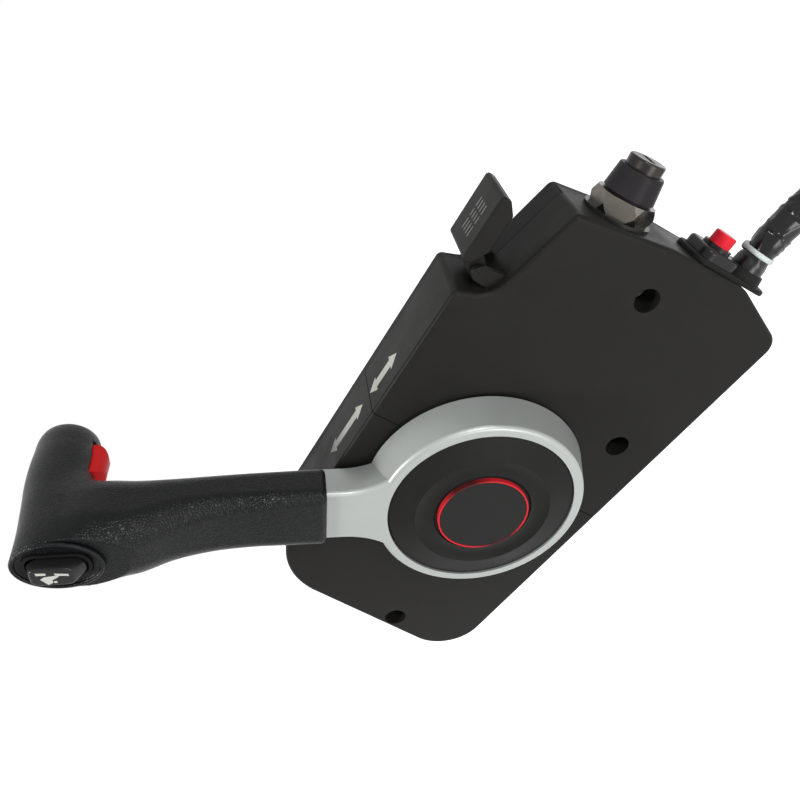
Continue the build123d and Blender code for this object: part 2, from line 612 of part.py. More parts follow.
with BuildPart() as friction_shoe:
    with BuildSketch(level(DRUM_H)):
        Circle(SHOE_IN_R + SHOE_T)
        Circle(SHOE_IN_R, mode=Mode.SUBTRACT)
        with BuildLine():
            far = 2 * (SHOE_IN_R + SHOE_T)
            Polyline((0, 0), (far * tan(radians(SHOE_ARC / 2)), far),
                     (-far * tan(radians(SHOE_ARC / 2)), far), close=True)
        make_face(mode=Mode.INTERSECT)
    extrude(amount=DRUM_T)
save(friction_shoe, "friction_shoe")

with BuildPart() as friction_screw:
    with BuildSketch(Plane.XY.offset(SHOE_IN_R + SHOE_T)):
        with Locations((0, LUG_DEPTH / 2 - PLATE_H)):
            Circle(FRICTION_SCREW_R)
    extrude(amount=LUG_Z + LUG_DEPTH / 2 - SHOE_IN_R - SHOE_T)
    with BuildSketch(Plane.XY.offset(LUG_Z + LUG_DEPTH / 2)):
        with Locations((0, LUG_DEPTH / 2 - PLATE_H)):
            RegularPolygon(FRICTION_HEAD_R, 6)
    extrude(amount=FRICTION_HEAD)
save(friction_screw, "friction_screw")

NEUTRAL_TURN = Location((0, 0, 0), (0, 0, NEUTRAL_ANGLE))
with BuildPart() as neutral_switch:
    with BuildSketch(level(PLATE_H - NEUTRAL_BODY[2])):
        with Locations(NEUTRAL_TURN):
            with Locations((DRUM_R + NEUTRAL_GAP, 0)):
                Rectangle(NEUTRAL_BODY[0], NEUTRAL_BODY[1], align=(Align.MIN, Align.CENTER))
    extrude(amount=NEUTRAL_BODY[2])
    with BuildSketch(level(DRUM_H)):
        with Locations(NEUTRAL_TURN):
            with Locations((SHOE_IN_R, 0)):
                Rectangle(NEUTRAL_PLUNGER[0], NEUTRAL_PLUNGER[1], align=(Align.MIN, Align.CENTER))
    extrude(amount=DRUM_T)
save(neutral_switch, "neutral_switch")

with BuildPart() as warning_buzzer:
    with BuildSketch(level(FLOOR)):
        with Locations(BUZZER_AT):
            Circle(BUZZER_R)
    extrude(amount=BUZZER_T)
    fillet(warning_buzzer.faces().sort_by(Axis.Y)[0].edges(), BUZZER_EDGE_R)
    with BuildSketch(level(FLOOR + BUZZER_T - BUZZER_MOUTH)):
        with Locations(BUZZER_AT):
            Circle(BUZZER_MOUTH_R)
    extrude(amount=BUZZER_MOUTH, mode=Mode.SUBTRACT)
save(warning_buzzer, "warning_buzzer")

with BuildPart() as cable_clamp:
    with BuildSketch(aft_level(CLAMP_X)):
        with Locations((ENTRY_MID_Z, FLOOR)):
            Rectangle(ENTRY_TOP_Z - ENTRY_LOW_Z, ENTRY_TOP_H - FLOOR, align=(Align.CENTER, Align.MIN))
        with Locations(*[(ENTRY_MID_Z + side * CABLE_PITCH / 2, ENTRY_MID_H) for side in (-1, 1)]):
            Circle(CABLE_R, mode=Mode.SUBTRACT)
    extrude(amount=CLAMP_LENGTH)
save(cable_clamp, "cable_clamp")


# ---------------------------------------------------------------- gears
def involute(base_r, radius):
    """Angle round an involute from its base circle out to a radius, in radians."""
    roll = sqrt((radius / base_r) ** 2 - 1)
    return roll - atan2(roll, 1)


def gear_face(teeth, turned):
    """Sketch of a spur gear on its own centre, with one tooth in the direction `turned`."""
    pitch_r = MODULE * teeth / 2
    base_r = pitch_r * cos(radians(PRESSURE_ANGLE))
    root_r, tip_r = pitch_r - 1.25 * MODULE, pitch_r + MODULE
    low_r = max(base_r, root_r) + 0.02
    half = (pi * MODULE / 2 - BACKLASH) / 2 / pitch_r + involute(base_r, pitch_r)
    radii = [low_r + (tip_r - low_r) * k / 3 for k in range(4)]
    flank = [(r, half - involute(base_r, r)) for r in radii]
    foot = [(root_r - 0.3, half)]
    side = [(r * cos(a), r * sin(a)) for r, a in foot + flank]
    with BuildSketch() as face:
        Circle(root_r)
        with PolarLocations(0, teeth, start_angle=turned):
            Polygon(*side, *[(x, -y) for x, y in reversed(side)], align=None)
    return face.sketch


def mesh_turn(bearing, teeth):
    """Turn that puts a driven gear's gap where the drive gear's tooth points at it, in degrees."""
    ahead = (bearing * DRIVE_TEETH / 360) % 1
    return bearing + 180 + (ahead + 0.5) * 360 / teeth


with BuildPart() as drive_gear:
    with BuildSketch(level(GEAR_H)):
        add(gear_face(DRIVE_TEETH, 0))
        Circle(SHAFT_R + SEAT_FIT, mode=Mode.SUBTRACT)
        with PolarLocations(GEAR_HOLE_AT_R, GEAR_HOLES, start_angle=360 / DRIVE_TEETH):
            Circle(GEAR_HOLE_R, mode=Mode.SUBTRACT)
    extrude(amount=GEAR_T)
save(drive_gear, "drive_gear")

for label, teeth, bearing, place, crank_angle in (
    ("shift", SHIFT_TEETH, SHIFT_BEARING, SHIFT_AT, SHIFT_CRANK_ANGLE),
    ("throttle", THROTTLE_TEETH, THROTTLE_BEARING, THROTTLE_AT, THROTTLE_CRANK_ANGLE),
):
    with BuildPart() as gear:
        with BuildSketch(level(GEAR_H)):
            with Locations(place):
                add(gear_face(teeth, mesh_turn(bearing, teeth)))
        extrude(amount=GEAR_T)
        with BuildSketch(level(ARM_H + ARM_T)):
            with Locations(place):
                Circle(HUB_R)
        extrude(amount=PLATE_H - SLIDE_FIT - ARM_H - ARM_T)
        with BuildSketch(level(ARM_H + ARM_T)):
            with Locations(place):
                Circle(PIVOT_R + RUN_FIT)
        extrude(amount=PLATE_H - ARM_H, mode=Mode.SUBTRACT)
    save(gear, f"{label}_gear")

    tip = tuple(c + CRANK_R * f(radians(crank_angle)) for c, f in zip(place, (cos, sin)))
    with BuildPart() as crank:
        with BuildSketch(level(ARM_H)):
            with Locations(place):
                Circle(HUB_R)
            with Locations(tip):
                Circle(CRANK_END_R)
            make_hull()
        extrude(amount=ARM_T)
        with BuildSketch(level(BOSS_TOP_H + SLIDE_FIT)):
            with Locations(place):
                Circle(PIVOT_R + BOSS_WALL)
        extrude(amount=ARM_H - BOSS_TOP_H - SLIDE_FIT)
        with BuildSketch(level(BOSS_TOP_H)):
            with Locations(place):
                Circle(PIVOT_R + RUN_FIT)
            with Locations(tip):
                Circle(CABLE_PIN_R)
        extrude(amount=ARM_H + ARM_T - BOSS_TOP_H, mode=Mode.SUBTRACT)
    save(crank, f"{label}_crank")

    with BuildPart() as cable_pin:
        with BuildSketch(level(ARM_H - CABLE_PIN_REACH)):
            with Locations(tip):
                Circle(CABLE_PIN_R)
        extrude(amount=ARM_T + CABLE_PIN_REACH)
        with BuildSketch(level(ARM_H + ARM_T)):
            with Locations(tip):
                Circle(CABLE_PIN_R + CABLE_PIN_RIM)
        extrude(amount=CABLE_PIN_HEAD)
    save(cable_pin, f"{label}_cable_pin")

with BuildPart() as friction_drum:
    with BuildSketch(level(DRUM_H)):
        Circle(DRUM_R)
        Circle(SHAFT_R + SEAT_FIT, mode=Mode.SUBTRACT)
    extrude(amount=DRUM_T)
save(friction_drum, "friction_drum")

with BuildPart() as main_shaft:
    with BuildSketch(level(SHAFT_LOW_H)):
        Circle(SHAFT_R)
    extrude(amount=SHAFT_TOP_H - SHAFT_LOW_H)
    with BuildSketch(level(SHAFT_TOP_H - BOLT_LENGTH)):
        Circle(LEVER_BOLT_R)
    extrude(amount=BOLT_LENGTH, mode=Mode.SUBTRACT)
save(main_shaft, "main_shaft")

# ---------------------------------------------------------------- lever
FLARE_ROOT_R = HUB_FRONT_R - HUB_EDGE_R - 0.8    # inside the hub's rounded edge
LEVER_BORE_R = SHAFT_R + SEAT_FIT
with BuildPart() as lever_arm:
    with BuildSketch(lever_level(ARM_BASE_H)):
        with BuildLine():
            # the arm's side leaves the hub's rim on an arc
            reach = sqrt((FLARE_ROOT_R + FLARE_R) ** 2 - (ARM_W / 2 + FLARE_R) ** 2)
            centre = (ARM_W / 2 + FLARE_R, reach)
            touch = tuple(c * FLARE_ROOT_R / (FLARE_ROOT_R + FLARE_R) for c in centre)
            middle = degrees(atan2(touch[1] - centre[1], touch[0] - centre[0]))
            CenterArc(centre, FLARE_R, 180, middle + 180)
            Line((ARM_W / 2, reach), (ARM_W / 2, GRIP_START))
            Line((ARM_W / 2, GRIP_START), (0, GRIP_START))
            Line((0, GRIP_START), (0, 0))
            Line((0, 0), touch)
        make_face()
        mirror(about=Plane.YZ)
    extrude(amount=HUB_FRONT_H - ARM_BASE_H)
    with BuildSketch(lever_level(ARM_MID_H - TANG_T / 2)):
        with Locations((0, GRIP_START - TANG_ROOT)):
            Rectangle(TANG_W, TANG_END - GRIP_START + TANG_ROOT, align=(Align.CENTER, Align.MIN))
    extrude(amount=TANG_T)
    sides = lever_arm.faces().sort_by(Axis.Y)[0].edges().filter_by(
        lambda e: e.center().dot(Vector(*LEVER_AXIS)) > FLARE_ROOT_R / 2 and
        abs(e.center().dot(Vector(*LEVER_ACROSS))) > ARM_W / 4
    )
    fillet(sides, HUB_EDGE_R)
    with BuildSketch(lever_level(ARM_BASE_H)):
        Circle(DISH_R + 1)
    extrude(amount=HUB_FRONT_H - ARM_BASE_H, mode=Mode.SUBTRACT)
    # hub, its boss, the dish for the cover and the bore for the shaft
    with BuildSketch(Plane.XY) as hub_section:
        with BuildLine():
            Polyline((LEVER_BORE_R, -LEVER_BOSS_H), (LEVER_BOSS_R, -LEVER_BOSS_H),
                     (LEVER_BOSS_R, -HUB_BASE_H), (HUB_BASE_R, -HUB_BASE_H),
                     (HUB_FRONT_R, -HUB_FRONT_H), (DISH_R + SEAT_FIT, -HUB_FRONT_H),
                     (DISH_R + SEAT_FIT, -WEB_TOP_H), (LEVER_BORE_R, -WEB_TOP_H), close=True)
        make_face()
        fillet(hub_section.vertices().group_by(Axis.Y)[0].sort_by(Axis.X)[-1], HUB_EDGE_R)
    revolve(axis=Axis.Y)
    with BuildSketch(lever_level(HUB_BASE_H)):
        with PolarLocations(0, POCKETS, start_angle=180 / POCKETS):
            with BuildLine():
                pocket_in, pocket_out = LEVER_BOSS_R + POCKET_IN_RIM, HUB_FRONT_R - POCKET_OUT_RIM
                ends = [
                    (r * cos(radians(a)), r * sin(radians(a)))
                    for r, a in ((pocket_in, -POCKET_IN_HALF), (pocket_out, -POCKET_OUT_HALF),
                                 (pocket_out, POCKET_OUT_HALF), (pocket_in, POCKET_IN_HALF))
                ]
                Line(ends[0], ends[1])
                ThreePointArc(ends[1], (pocket_out, 0), ends[2])
                Line(ends[2], ends[3])
                ThreePointArc(ends[3], (pocket_in, 0), ends[0])
            make_face()
    extrude(amount=POCKET_DEPTH, mode=Mode.SUBTRACT)
    with BuildSketch(lever_section(ROD_END_L)):
        with Locations((0, ARM_MID_H)):
            Circle(ROD_R + SLIDE_FIT)
    extrude(amount=TANG_END - ROD_END_L + 1, mode=Mode.SUBTRACT)
save(lever_arm, "lever_arm")

GROOVE_FLOOR_H = GROOVE_H - COVER_T
WELL_FLOOR_H = WELL_H - WELL_T
with BuildPart() as hub_cover:
    with BuildSketch(Plane.XY):
        with BuildLine():
            Line((WELL_R, -WELL_H), (GROOVE_IN_R, -LIP_H))
            Spline((GROOVE_IN_R, -LIP_H), ((GROOVE_IN_R + GROOVE_OUT_R) / 2, -GROOVE_H),
                   (GROOVE_OUT_R, -COVER_CREST_H))
            Polyline((GROOVE_OUT_R, -COVER_CREST_H), (DISH_R - COVER_EDGE, -COVER_TOP_H),
                     (DISH_R, -COVER_TOP_H + COVER_EDGE), (DISH_R, -WEB_TOP_H),
                     (DISH_R - COVER_T, -WEB_TOP_H), (DISH_R - COVER_T, COVER_T - COVER_TOP_H),
                     (GROOVE_OUT_R, -GROOVE_FLOOR_H), (0, -WELL_FLOOR_H), (0, -WELL_H),
                     (WELL_R, -WELL_H))
        make_face()
    revolve(axis=Axis.Y)
save(hub_cover, "hub_cover")

RING_IN_R = CAP_R - RING_T
with BuildPart() as hub_cap:
    with BuildSketch(lever_level(WELL_H)):
        Circle(RING_IN_R)
    extrude(amount=CAP_T)
    fillet(hub_cap.faces().sort_by(Axis.Y)[0].edges(), CAP_EDGE_R)
save(hub_cap, "hub_cap")

with BuildPart() as hub_accent_ring:
    with BuildSketch(lever_level(WELL_H)):
        Circle(CAP_R)
        Circle(RING_IN_R, mode=Mode.SUBTRACT)
    extrude(amount=CAP_T + RING_PROUD)
save(hub_accent_ring, "hub_accent_ring")

LEVER_BOLT_HEAD = WELL_FLOOR_H - BOLT_CLEARANCE - WEB_TOP_H
with BuildPart() as lever_bolt:
    with BuildSketch(lever_level(SHAFT_TOP_H - BOLT_LENGTH)):
        Circle(LEVER_BOLT_R)
    extrude(amount=WEB_TOP_H - SHAFT_TOP_H + BOLT_LENGTH)
    with BuildSketch(lever_level(WEB_TOP_H)):
        Circle(LEVER_BOLT_HEAD_R)
    extrude(amount=LEVER_BOLT_HEAD)
    with BuildSketch(lever_level(WEB_TOP_H + LEVER_BOLT_HEAD)):
        RegularPolygon(LEVER_BOLT_R, 6)
    extrude(amount=-LEVER_BOLT_HEAD / 2, mode=Mode.SUBTRACT)
save(lever_bolt, "lever_bolt")

# ---------------------------------------------------------------- grip
BAR_TOP_H = ARM_MID_H + BAR_SECTIONS[-1][0] + BAR_RIM_R
BAR_END_L = BAR_L + BAR_SECTIONS[-1][3]
POST_TOP_H = ARM_MID_H + 2 * ROD_R

with BuildPart() as grip:
    for distance, half_w, half_t, rise, corner_r in SLEEVE_SECTIONS:
        with BuildSketch(lever_section(distance)):
            with Locations((0, ARM_MID_H + rise)):
                RectangleRounded(2 * half_w, 2 * half_t, corner_r)
    loft()
    for rise, half_w, half_t, shift in BAR_SECTIONS:
        with BuildSketch(lever_level(ARM_MID_H + rise)):
            with Locations((0, BAR_L + shift)):
                Ellipse(half_w, half_t)
    loft()
    end_rise, end_w, end_t, end_shift = BAR_SECTIONS[-1]
    with BuildSketch(lever_level(ARM_MID_H + end_rise)):
        with Locations((0, BAR_L + end_shift)):
            Ellipse(end_w, end_t)
    extrude(amount=BAR_RIM_R)
    fillet(grip.faces().sort_by(Axis.Y)[0].edges(), 0.95 * BAR_RIM_R)
    fillet(grip.faces().sort_by(Axis.Y)[-1].edges(), BAR_END_R)
    # room for the tang, the lock rod and the trigger's body
    with BuildSketch(lever_level(ARM_MID_H - TANG_T / 2)):
        with Locations((0, GRIP_START - GRIP_LAP)):
            Rectangle(TANG_W, TANG_END - GRIP_START + GRIP_LAP, align=(Align.CENTER, Align.MIN))
    extrude(amount=TANG_T, mode=Mode.SUBTRACT)
    with BuildSketch(lever_level(ARM_BASE_H)):
        with Locations((0, GRIP_START - GRIP_LAP)):
            Rectangle(ARM_W, GRIP_LAP, align=(Align.CENTER, Align.MIN))
    extrude(amount=HUB_FRONT_H - ARM_BASE_H, mode=Mode.SUBTRACT)
    with BuildSketch(lever_section(TANG_END)):
        with Locations((0, ARM_MID_H)):
            Circle(ROD_R + SLIDE_FIT)
    extrude(amount=TRIGGER_BACK_L - TANG_END, mode=Mode.SUBTRACT)
    with BuildSketch(lever_level(TRIGGER_LOW_H - SLIDE_FIT)):
        with Locations((0, TRIGGER_TIP_L - TRIGGER_SLOT_LIP)):
            RectangleRounded(TRIGGER_W + 2 * SLIDE_FIT, TRIGGER_BACK_L + TRIGGER_TRAVEL + SLIDE_FIT
                             - TRIGGER_TIP_L + TRIGGER_SLOT_LIP,
                             TRIGGER_BACK_R, align=(Align.CENTER, Align.MIN))
    extrude(amount=TRIGGER_TOP_H - TRIGGER_LOW_H + 2 * SLIDE_FIT, mode=Mode.SUBTRACT)
    with BuildSketch(lever_level(TRIGGER_TOP_H)):
        with Locations((0, TRIGGER_BACK_L - TRIGGER_POST - SLIDE_FIT)):
            Rectangle(TRIGGER_POST_W + 2 * SLIDE_FIT, TRIGGER_POST + TRIGGER_TRAVEL + 2 * SLIDE_FIT,
                      align=(Align.CENTER, Align.MIN))
    extrude(amount=POST_TOP_H - TRIGGER_TOP_H + SLIDE_FIT, mode=Mode.SUBTRACT)
    with BuildSketch(lever_level(BAR_TOP_H)):
        with Locations((0, BAR_END_L)):
            RectangleRounded(TRIM_W, TRIM_L, TRIM_CORNER_R)
    extrude(amount=-TRIM_DEPTH, mode=Mode.SUBTRACT)
save(grip, "grip")

ROCKER_W = TRIM_W - 2 * TRIM_RIM - 2 * SLIDE_FIT
ROCKER_L = TRIM_L - 2 * TRIM_RIM - 2 * ROCKER_END_GAP
ROCKER_TOP_H = BAR_TOP_H + ROCKER_PROUD
ROCKER_PIVOT_H = ROCKER_TOP_H - ROCKER_T - ROCKER_KEEL
BEZEL_LOW_H = ROCKER_PIVOT_H - ROCKER_PIN_R - SLIDE_FIT
ROCKER_PLANE = Plane(origin=(0, 0, 0), x_dir=LEVER_AXIS, z_dir=LEVER_ACROSS)
with BuildPart() as trim_switch_body:
    with BuildSketch(lever_level(BAR_TOP_H - TRIM_DEPTH)):
        with Locations((0, BAR_END_L)):
            RectangleRounded(TRIM_W - 2 * SEAT_FIT, TRIM_L - 2 * SEAT_FIT, TRIM_CORNER_R - SEAT_FIT)
    extrude(amount=BEZEL_LOW_H - BAR_TOP_H + TRIM_DEPTH)
save(trim_switch_body, "trim_switch_body")

with BuildPart() as trim_switch_bezel:
    with BuildSketch(lever_level(BEZEL_LOW_H)):
        with Locations((0, BAR_END_L)):
            RectangleRounded(TRIM_W - 2 * SEAT_FIT, TRIM_L - 2 * SEAT_FIT, TRIM_CORNER_R - SEAT_FIT)
            RectangleRounded(TRIM_W - 2 * TRIM_RIM, TRIM_L - 2 * TRIM_RIM, TRIM_CORNER_R - TRIM_RIM,
                             mode=Mode.SUBTRACT)
    extrude(amount=BAR_TOP_H - BEZEL_LOW_H - BEZEL_SUNK)
    with BuildSketch(ROCKER_PLANE):
        with Locations((BAR_END_L, ROCKER_PIVOT_H)):
            Circle(ROCKER_PIN_R + RUN_FIT)
    extrude(amount=ROCKER_W / 2 + SLIDE_FIT + TRUNNION, both=True, mode=Mode.SUBTRACT)
save(trim_switch_bezel, "trim_switch_bezel")

with BuildPart() as trim_rocker:
    with BuildSketch(ROCKER_PLANE) as rocker_side:
        # two flats that meet in a shallow valley over the pivot
        with BuildLine():
            Polyline(*[(BAR_END_L + x, ROCKER_TOP_H - drop) for x, drop in (
                (-ROCKER_L / 2, ROCKER_PROUD), (ROCKER_LEAN - ROCKER_L / 2, 0), (0, ROCKER_DIP),
                (ROCKER_L / 2 - ROCKER_LEAN, 0), (ROCKER_L / 2, ROCKER_PROUD),
                (ROCKER_L / 2 - ROCKER_END_GAP, ROCKER_T - ROCKER_DIP), (ROCKER_KEEL_W / 2, ROCKER_T),
                (-ROCKER_KEEL_W / 2, ROCKER_T), (ROCKER_END_GAP - ROCKER_L / 2, ROCKER_T - ROCKER_DIP)
            )], close=True)
        make_face()
    extrude(amount=ROCKER_W / 2, both=True)
    pads = trim_rocker.faces().sort_by(Axis.Y)[:2]
    fillet(pads[0].edges() + pads[1].edges(), ROCKER_EDGE_R)
    with BuildSketch(lever_level(BEZEL_LOW_H)):
        with Locations((0, BAR_END_L)):
            RectangleRounded(ROCKER_W, ROCKER_L, TRIM_CORNER_R - TRIM_RIM - SLIDE_FIT)
    extrude(amount=ROCKER_TOP_H - BEZEL_LOW_H, mode=Mode.INTERSECT)
    # keel under the valley, and the pin on which it rocks
    with BuildSketch(ROCKER_PLANE):
        with Locations((BAR_END_L, ROCKER_PIVOT_H)):
            Rectangle(2 * ROCKER_PIN_R, ROCKER_KEEL, align=(Align.CENTER, Align.MIN))
    extrude(amount=ROCKER_W / 2, both=True)
    with BuildSketch(ROCKER_PLANE):
        with Locations((BAR_END_L, ROCKER_PIVOT_H)):
            Circle(ROCKER_PIN_R)
    extrude(amount=ROCKER_W / 2 + SLIDE_FIT + TRUNNION - SEAT_FIT, both=True)
save(trim_rocker, "trim_rocker")

# ---------------------------------------------------------------- lock trigger and rod
with BuildPart() as lock_trigger:
    with BuildSketch(lever_level(TRIGGER_LOW_H)):
        with Locations((0, TRIGGER_TIP_L)):
            Rectangle(TRIGGER_W, TRIGGER_BACK_L - TRIGGER_TIP_L, align=(Align.CENTER, Align.MIN))
    extrude(amount=TRIGGER_TOP_H - TRIGGER_LOW_H)
    outwards = Axis(origin=(0, 0, 0), direction=LEVER_AXIS)
    fillet(lock_trigger.faces().sort_by(outwards)[-1].edges().filter_by(Axis.Y), TRIGGER_BACK_R)
    fillet(lock_trigger.faces().sort_by(outwards)[0].edges(), TRIGGER_FRONT_R)
    with BuildSketch(lever_level(TRIGGER_TOP_H)):
        with Locations((0, TRIGGER_BACK_L)):
            Rectangle(TRIGGER_POST_W, TRIGGER_POST, align=(Align.CENTER, Align.MAX))
    extrude(amount=POST_TOP_H - TRIGGER_TOP_H)
save(lock_trigger, "lock_trigger")

with BuildPart() as lock_rod:
    with BuildSketch(lever_section(ROD_END_L)):
        with Locations((0, ARM_MID_H)):
            Circle(ROD_R)
    extrude(amount=TRIGGER_BACK_L - TRIGGER_POST - ROD_END_L)
save(lock_rod, "lock_rod")

# ---------------------------------------------------------------- key switch
with BuildPart() as key_switch_body:
    with BuildSketch(KEY_PLANE.offset(-WALL - KEY_BODY)):
        Circle(KEY_BODY_R)
    extrude(amount=KEY_BODY)
    with BuildSketch(KEY_PLANE.offset(-WALL)):
        Circle(KEY_NECK_R)
    extrude(amount=WALL + WASHER_T + NUT_T)
    with BuildSketch(KEY_PLANE.offset(-WALL - KEY_BODY)):
        with PolarLocations(TERMINAL_AT_R, TERMINALS):
            Rectangle(TERMINAL[0], TERMINAL[1])
    extrude(amount=-TERMINAL[2])
save(key_switch_body, "key_switch_body")

with BuildPart() as key_switch_washer:
    with BuildSketch(KEY_PLANE):
        Circle(WASHER_R)
        Circle(KEY_NECK_R + SEAT_FIT, mode=Mode.SUBTRACT)
    extrude(amount=WASHER_T)
save(key_switch_washer, "key_switch_washer")

with BuildPart() as key_switch_nut:
    with BuildSketch(KEY_PLANE.offset(WASHER_T)):
        RegularPolygon(NUT_AF / 2, 6, major_radius=False)
    extrude(amount=NUT_T)
    # both faces of the hexagon are turned down to a cone
    with BuildSketch(KEY_PLANE.offset(WASHER_T), mode=Mode.PRIVATE) as turned:
        Circle(NUT_AF / 2 + NUT_BEVEL_OUT)
    extrude(to_extrude=turned.sketch, amount=NUT_T, taper=-NUT_BEVEL, mode=Mode.INTERSECT)
    with BuildSketch(KEY_PLANE.offset(WASHER_T + NUT_T), mode=Mode.PRIVATE) as turned_top:
        Circle(NUT_AF / 2 + NUT_BEVEL_OUT)
    extrude(to_extrude=turned_top.sketch, amount=-NUT_T, taper=-NUT_BEVEL, mode=Mode.INTERSECT)
    with BuildSketch(KEY_PLANE.offset(WASHER_T)):
        Circle(KEY_NECK_R + SEAT_FIT)
    extrude(amount=NUT_T, mode=Mode.SUBTRACT)
save(key_switch_nut, "key_switch_nut")

BEZEL_LOW = WASHER_T + NUT_T
KEY_AXIS = Axis(KEY_PLANE.origin, KEY_PLANE.z_dir)
with BuildPart() as key_switch_bezel:
    with BuildSketch(KEY_PLANE.offset(BEZEL_LOW)):
        Circle(KEY_NECK_R)
    extrude(amount=BEZEL_STEP)
    with BuildSketch(KEY_PLANE.offset(BEZEL_LOW + BEZEL_STEP)):
        Circle(BEZEL_BASE_R)
    with BuildSketch(KEY_PLANE.offset(BEZEL_TOP)):
        Circle(BEZEL_TOP_R)
    loft()
    fillet(key_switch_bezel.faces().sort_by(KEY_AXIS)[-1].edges(), BEZEL_EDGE_R)
    with BuildSketch(KEY_PLANE.offset(ROTOR_LOW)):
        Circle(ROTOR_R + RUN_FIT)
    extrude(amount=BEZEL_TOP - ROTOR_LOW, mode=Mode.SUBTRACT)
save(key_switch_bezel, "key_switch_bezel")

with BuildPart() as key_rotor:
    with BuildSketch(KEY_PLANE.offset(ROTOR_LOW)):
        Circle(ROTOR_R)
    extrude(amount=ROTOR_TOP - ROTOR_LOW)
    fillet(key_rotor.faces().sort_by(KEY_AXIS)[-1].edges(), ROTOR_EDGE_R)
    with BuildSketch(KEY_PLANE.offset(ROTOR_TOP)):
        Rectangle(KEY_SLOT[0], KEY_SLOT[1])
    extrude(amount=-KEY_SLOT[2], mode=Mode.SUBTRACT)
save(key_rotor, "key_rotor")

# ---------------------------------------------------------------- stop switch
BLOCK_TOP_X = AFT_X + SWITCH_PLATE_T + STOP_BLOCK[2]
COLLAR_TOP_X = BLOCK_TOP_X + COLLAR
BUTTON_LOW_X = COLLAR_TOP_X + BUTTON_PROUD - BUTTON_T
BUTTON_FLOOR_X = BUTTON_LOW_X - BUTTON_TRAVEL - SLIDE_FIT

with BuildPart() as switch_plate:
    with BuildSketch(aft_level(AFT_X)):
        with Locations(((PLATE_TOP_Z + PLATE_FOOT_Z) / 2, SWITCH_PLATE_MID)):
            RectangleRounded(PLATE_TOP_Z - PLATE_FOOT_Z, SWITCH_PLATE_W, SWITCH_PLATE_CORNER_R)
    extrude(amount=SWITCH_PLATE_T)
    fillet(switch_plate.faces().sort_by(Axis.X)[-1].edges(), SWITCH_PLATE_EDGE_R)
    with BuildSketch(aft_level(AFT_X + SWITCH_PLATE_T)):
        with Locations((HARNESS_Z, HARNESS_H)):
            Circle(GLAND_R)
    extrude(amount=GLAND, taper=GLAND_TAPER)
    with BuildSketch(aft_level(AFT_X)):
        with Locations((STOP_Z, STOP_H)):
            Circle(STOP_BODY_R + SEAT_FIT)
    extrude(amount=SWITCH_PLATE_T, mode=Mode.SUBTRACT)
save(switch_plate, "switch_plate")

with BuildPart() as stop_switch:
    with BuildSketch(aft_level(AFT_X + SWITCH_PLATE_T)):
        with Locations((STOP_Z, STOP_H)):
            RectangleRounded(STOP_BLOCK[0], STOP_BLOCK[1], STOP_BLOCK_CORNER_R)
    extrude(amount=STOP_BLOCK[2])
    fillet(stop_switch.faces().sort_by(Axis.X)[-1].edges(), STOP_BLOCK_EDGE_R)
    with BuildSketch(aft_level(BLOCK_TOP_X)):
        with Locations((STOP_Z, STOP_H)):
            Circle(COLLAR_R)
    extrude(amount=COLLAR)
    with BuildSketch(aft_level(AFT_X + SWITCH_PLATE_T)):
        with Locations((STOP_Z, STOP_H)):
            Circle(STOP_BODY_R)
    extrude(amount=-SWITCH_PLATE_T - WALL - STOP_BODY)
    with BuildSketch(aft_level(BUTTON_FLOOR_X)):
        with Locations((STOP_Z, STOP_H)):
            Circle(BUTTON_R + RUN_FIT)
    extrude(amount=COLLAR_TOP_X - BUTTON_FLOOR_X, mode=Mode.SUBTRACT)
save(stop_switch, "stop_switch")

with BuildPart() as stop_button:
    with BuildSketch(aft_level(BUTTON_LOW_X)):
        with Locations((STOP_Z, STOP_H)):
            Circle(BUTTON_R)
    extrude(amount=BUTTON_T)
    fillet(stop_button.faces().sort_by(Axis.X)[-1].edges(), BUTTON_EDGE_R)
save(stop_button, "stop_button")

# ---------------------------------------------------------------- free throttle lever
FLAP_FOOT_Z = FLAP_TOP_Z - FLAP_T
with BuildPart() as throttle_flap:
    with BuildSketch(level(FLAP_LOW_H)) as flap_side:
        with BuildLine():
            Polyline((FLAP_START_X, FLAP_TOP_Z), (FLAP_END_X, FLAP_TOP_Z),
                     (FLAP_END_X - FLAP_LIP_IN, FLAP_TOP_Z - FLAP_LIP),
                     (FLAP_END_X - FLAP_TIP_SLOPE, FLAP_FOOT_Z),
                     (FLAP_START_X + FLAP_ROOT_SLOPE, FLAP_FOOT_Z),
                     (FLAP_START_X, FLAP_TOP_Z - FLAP_LIP), close=True)
        make_face()
        fillet(flap_side.vertices(), FLAP_CORNER_R)
    extrude(amount=FLAP_W)
    flap_sides = throttle_flap.faces().sort_by(Axis.Y)
    fillet(flap_sides[0].edges() + flap_sides[-1].edges(), FLAP_EDGE_R)
    with BuildSketch(level(KNUCKLE_LOW_H)):
        with Locations((FLAP_PIN_X, FLAP_PIN_Z)):
            Circle(KNUCKLE_R)
        with Locations((FLAP_START_X + KNUCKLE_ROOT_X, FLAP_TOP_Z - FLAP_LIP)):
            Circle(KNUCKLE_ROOT_R)
        make_hull()
    extrude(amount=KNUCKLE_TOP_H - KNUCKLE_LOW_H)
    with BuildSketch(level(KNUCKLE_LOW_H)):
        with Locations((FLAP_PIN_X, FLAP_PIN_Z)):
            Circle(FLAP_PIN_R + RUN_FIT)
    extrude(amount=KNUCKLE_TOP_H - KNUCKLE_LOW_H, mode=Mode.SUBTRACT)
save(throttle_flap, "throttle_flap")

with BuildPart() as flap_pin:
    with BuildSketch(level(KNUCKLE_LOW_H - SLIDE_FIT - LUG_T)):
        with Locations((FLAP_PIN_X, FLAP_PIN_Z)):
            Circle(FLAP_PIN_R)
    extrude(amount=KNUCKLE_TOP_H - KNUCKLE_LOW_H + 2 * SLIDE_FIT + 2 * LUG_T)
save(flap_pin, "flap_pin")

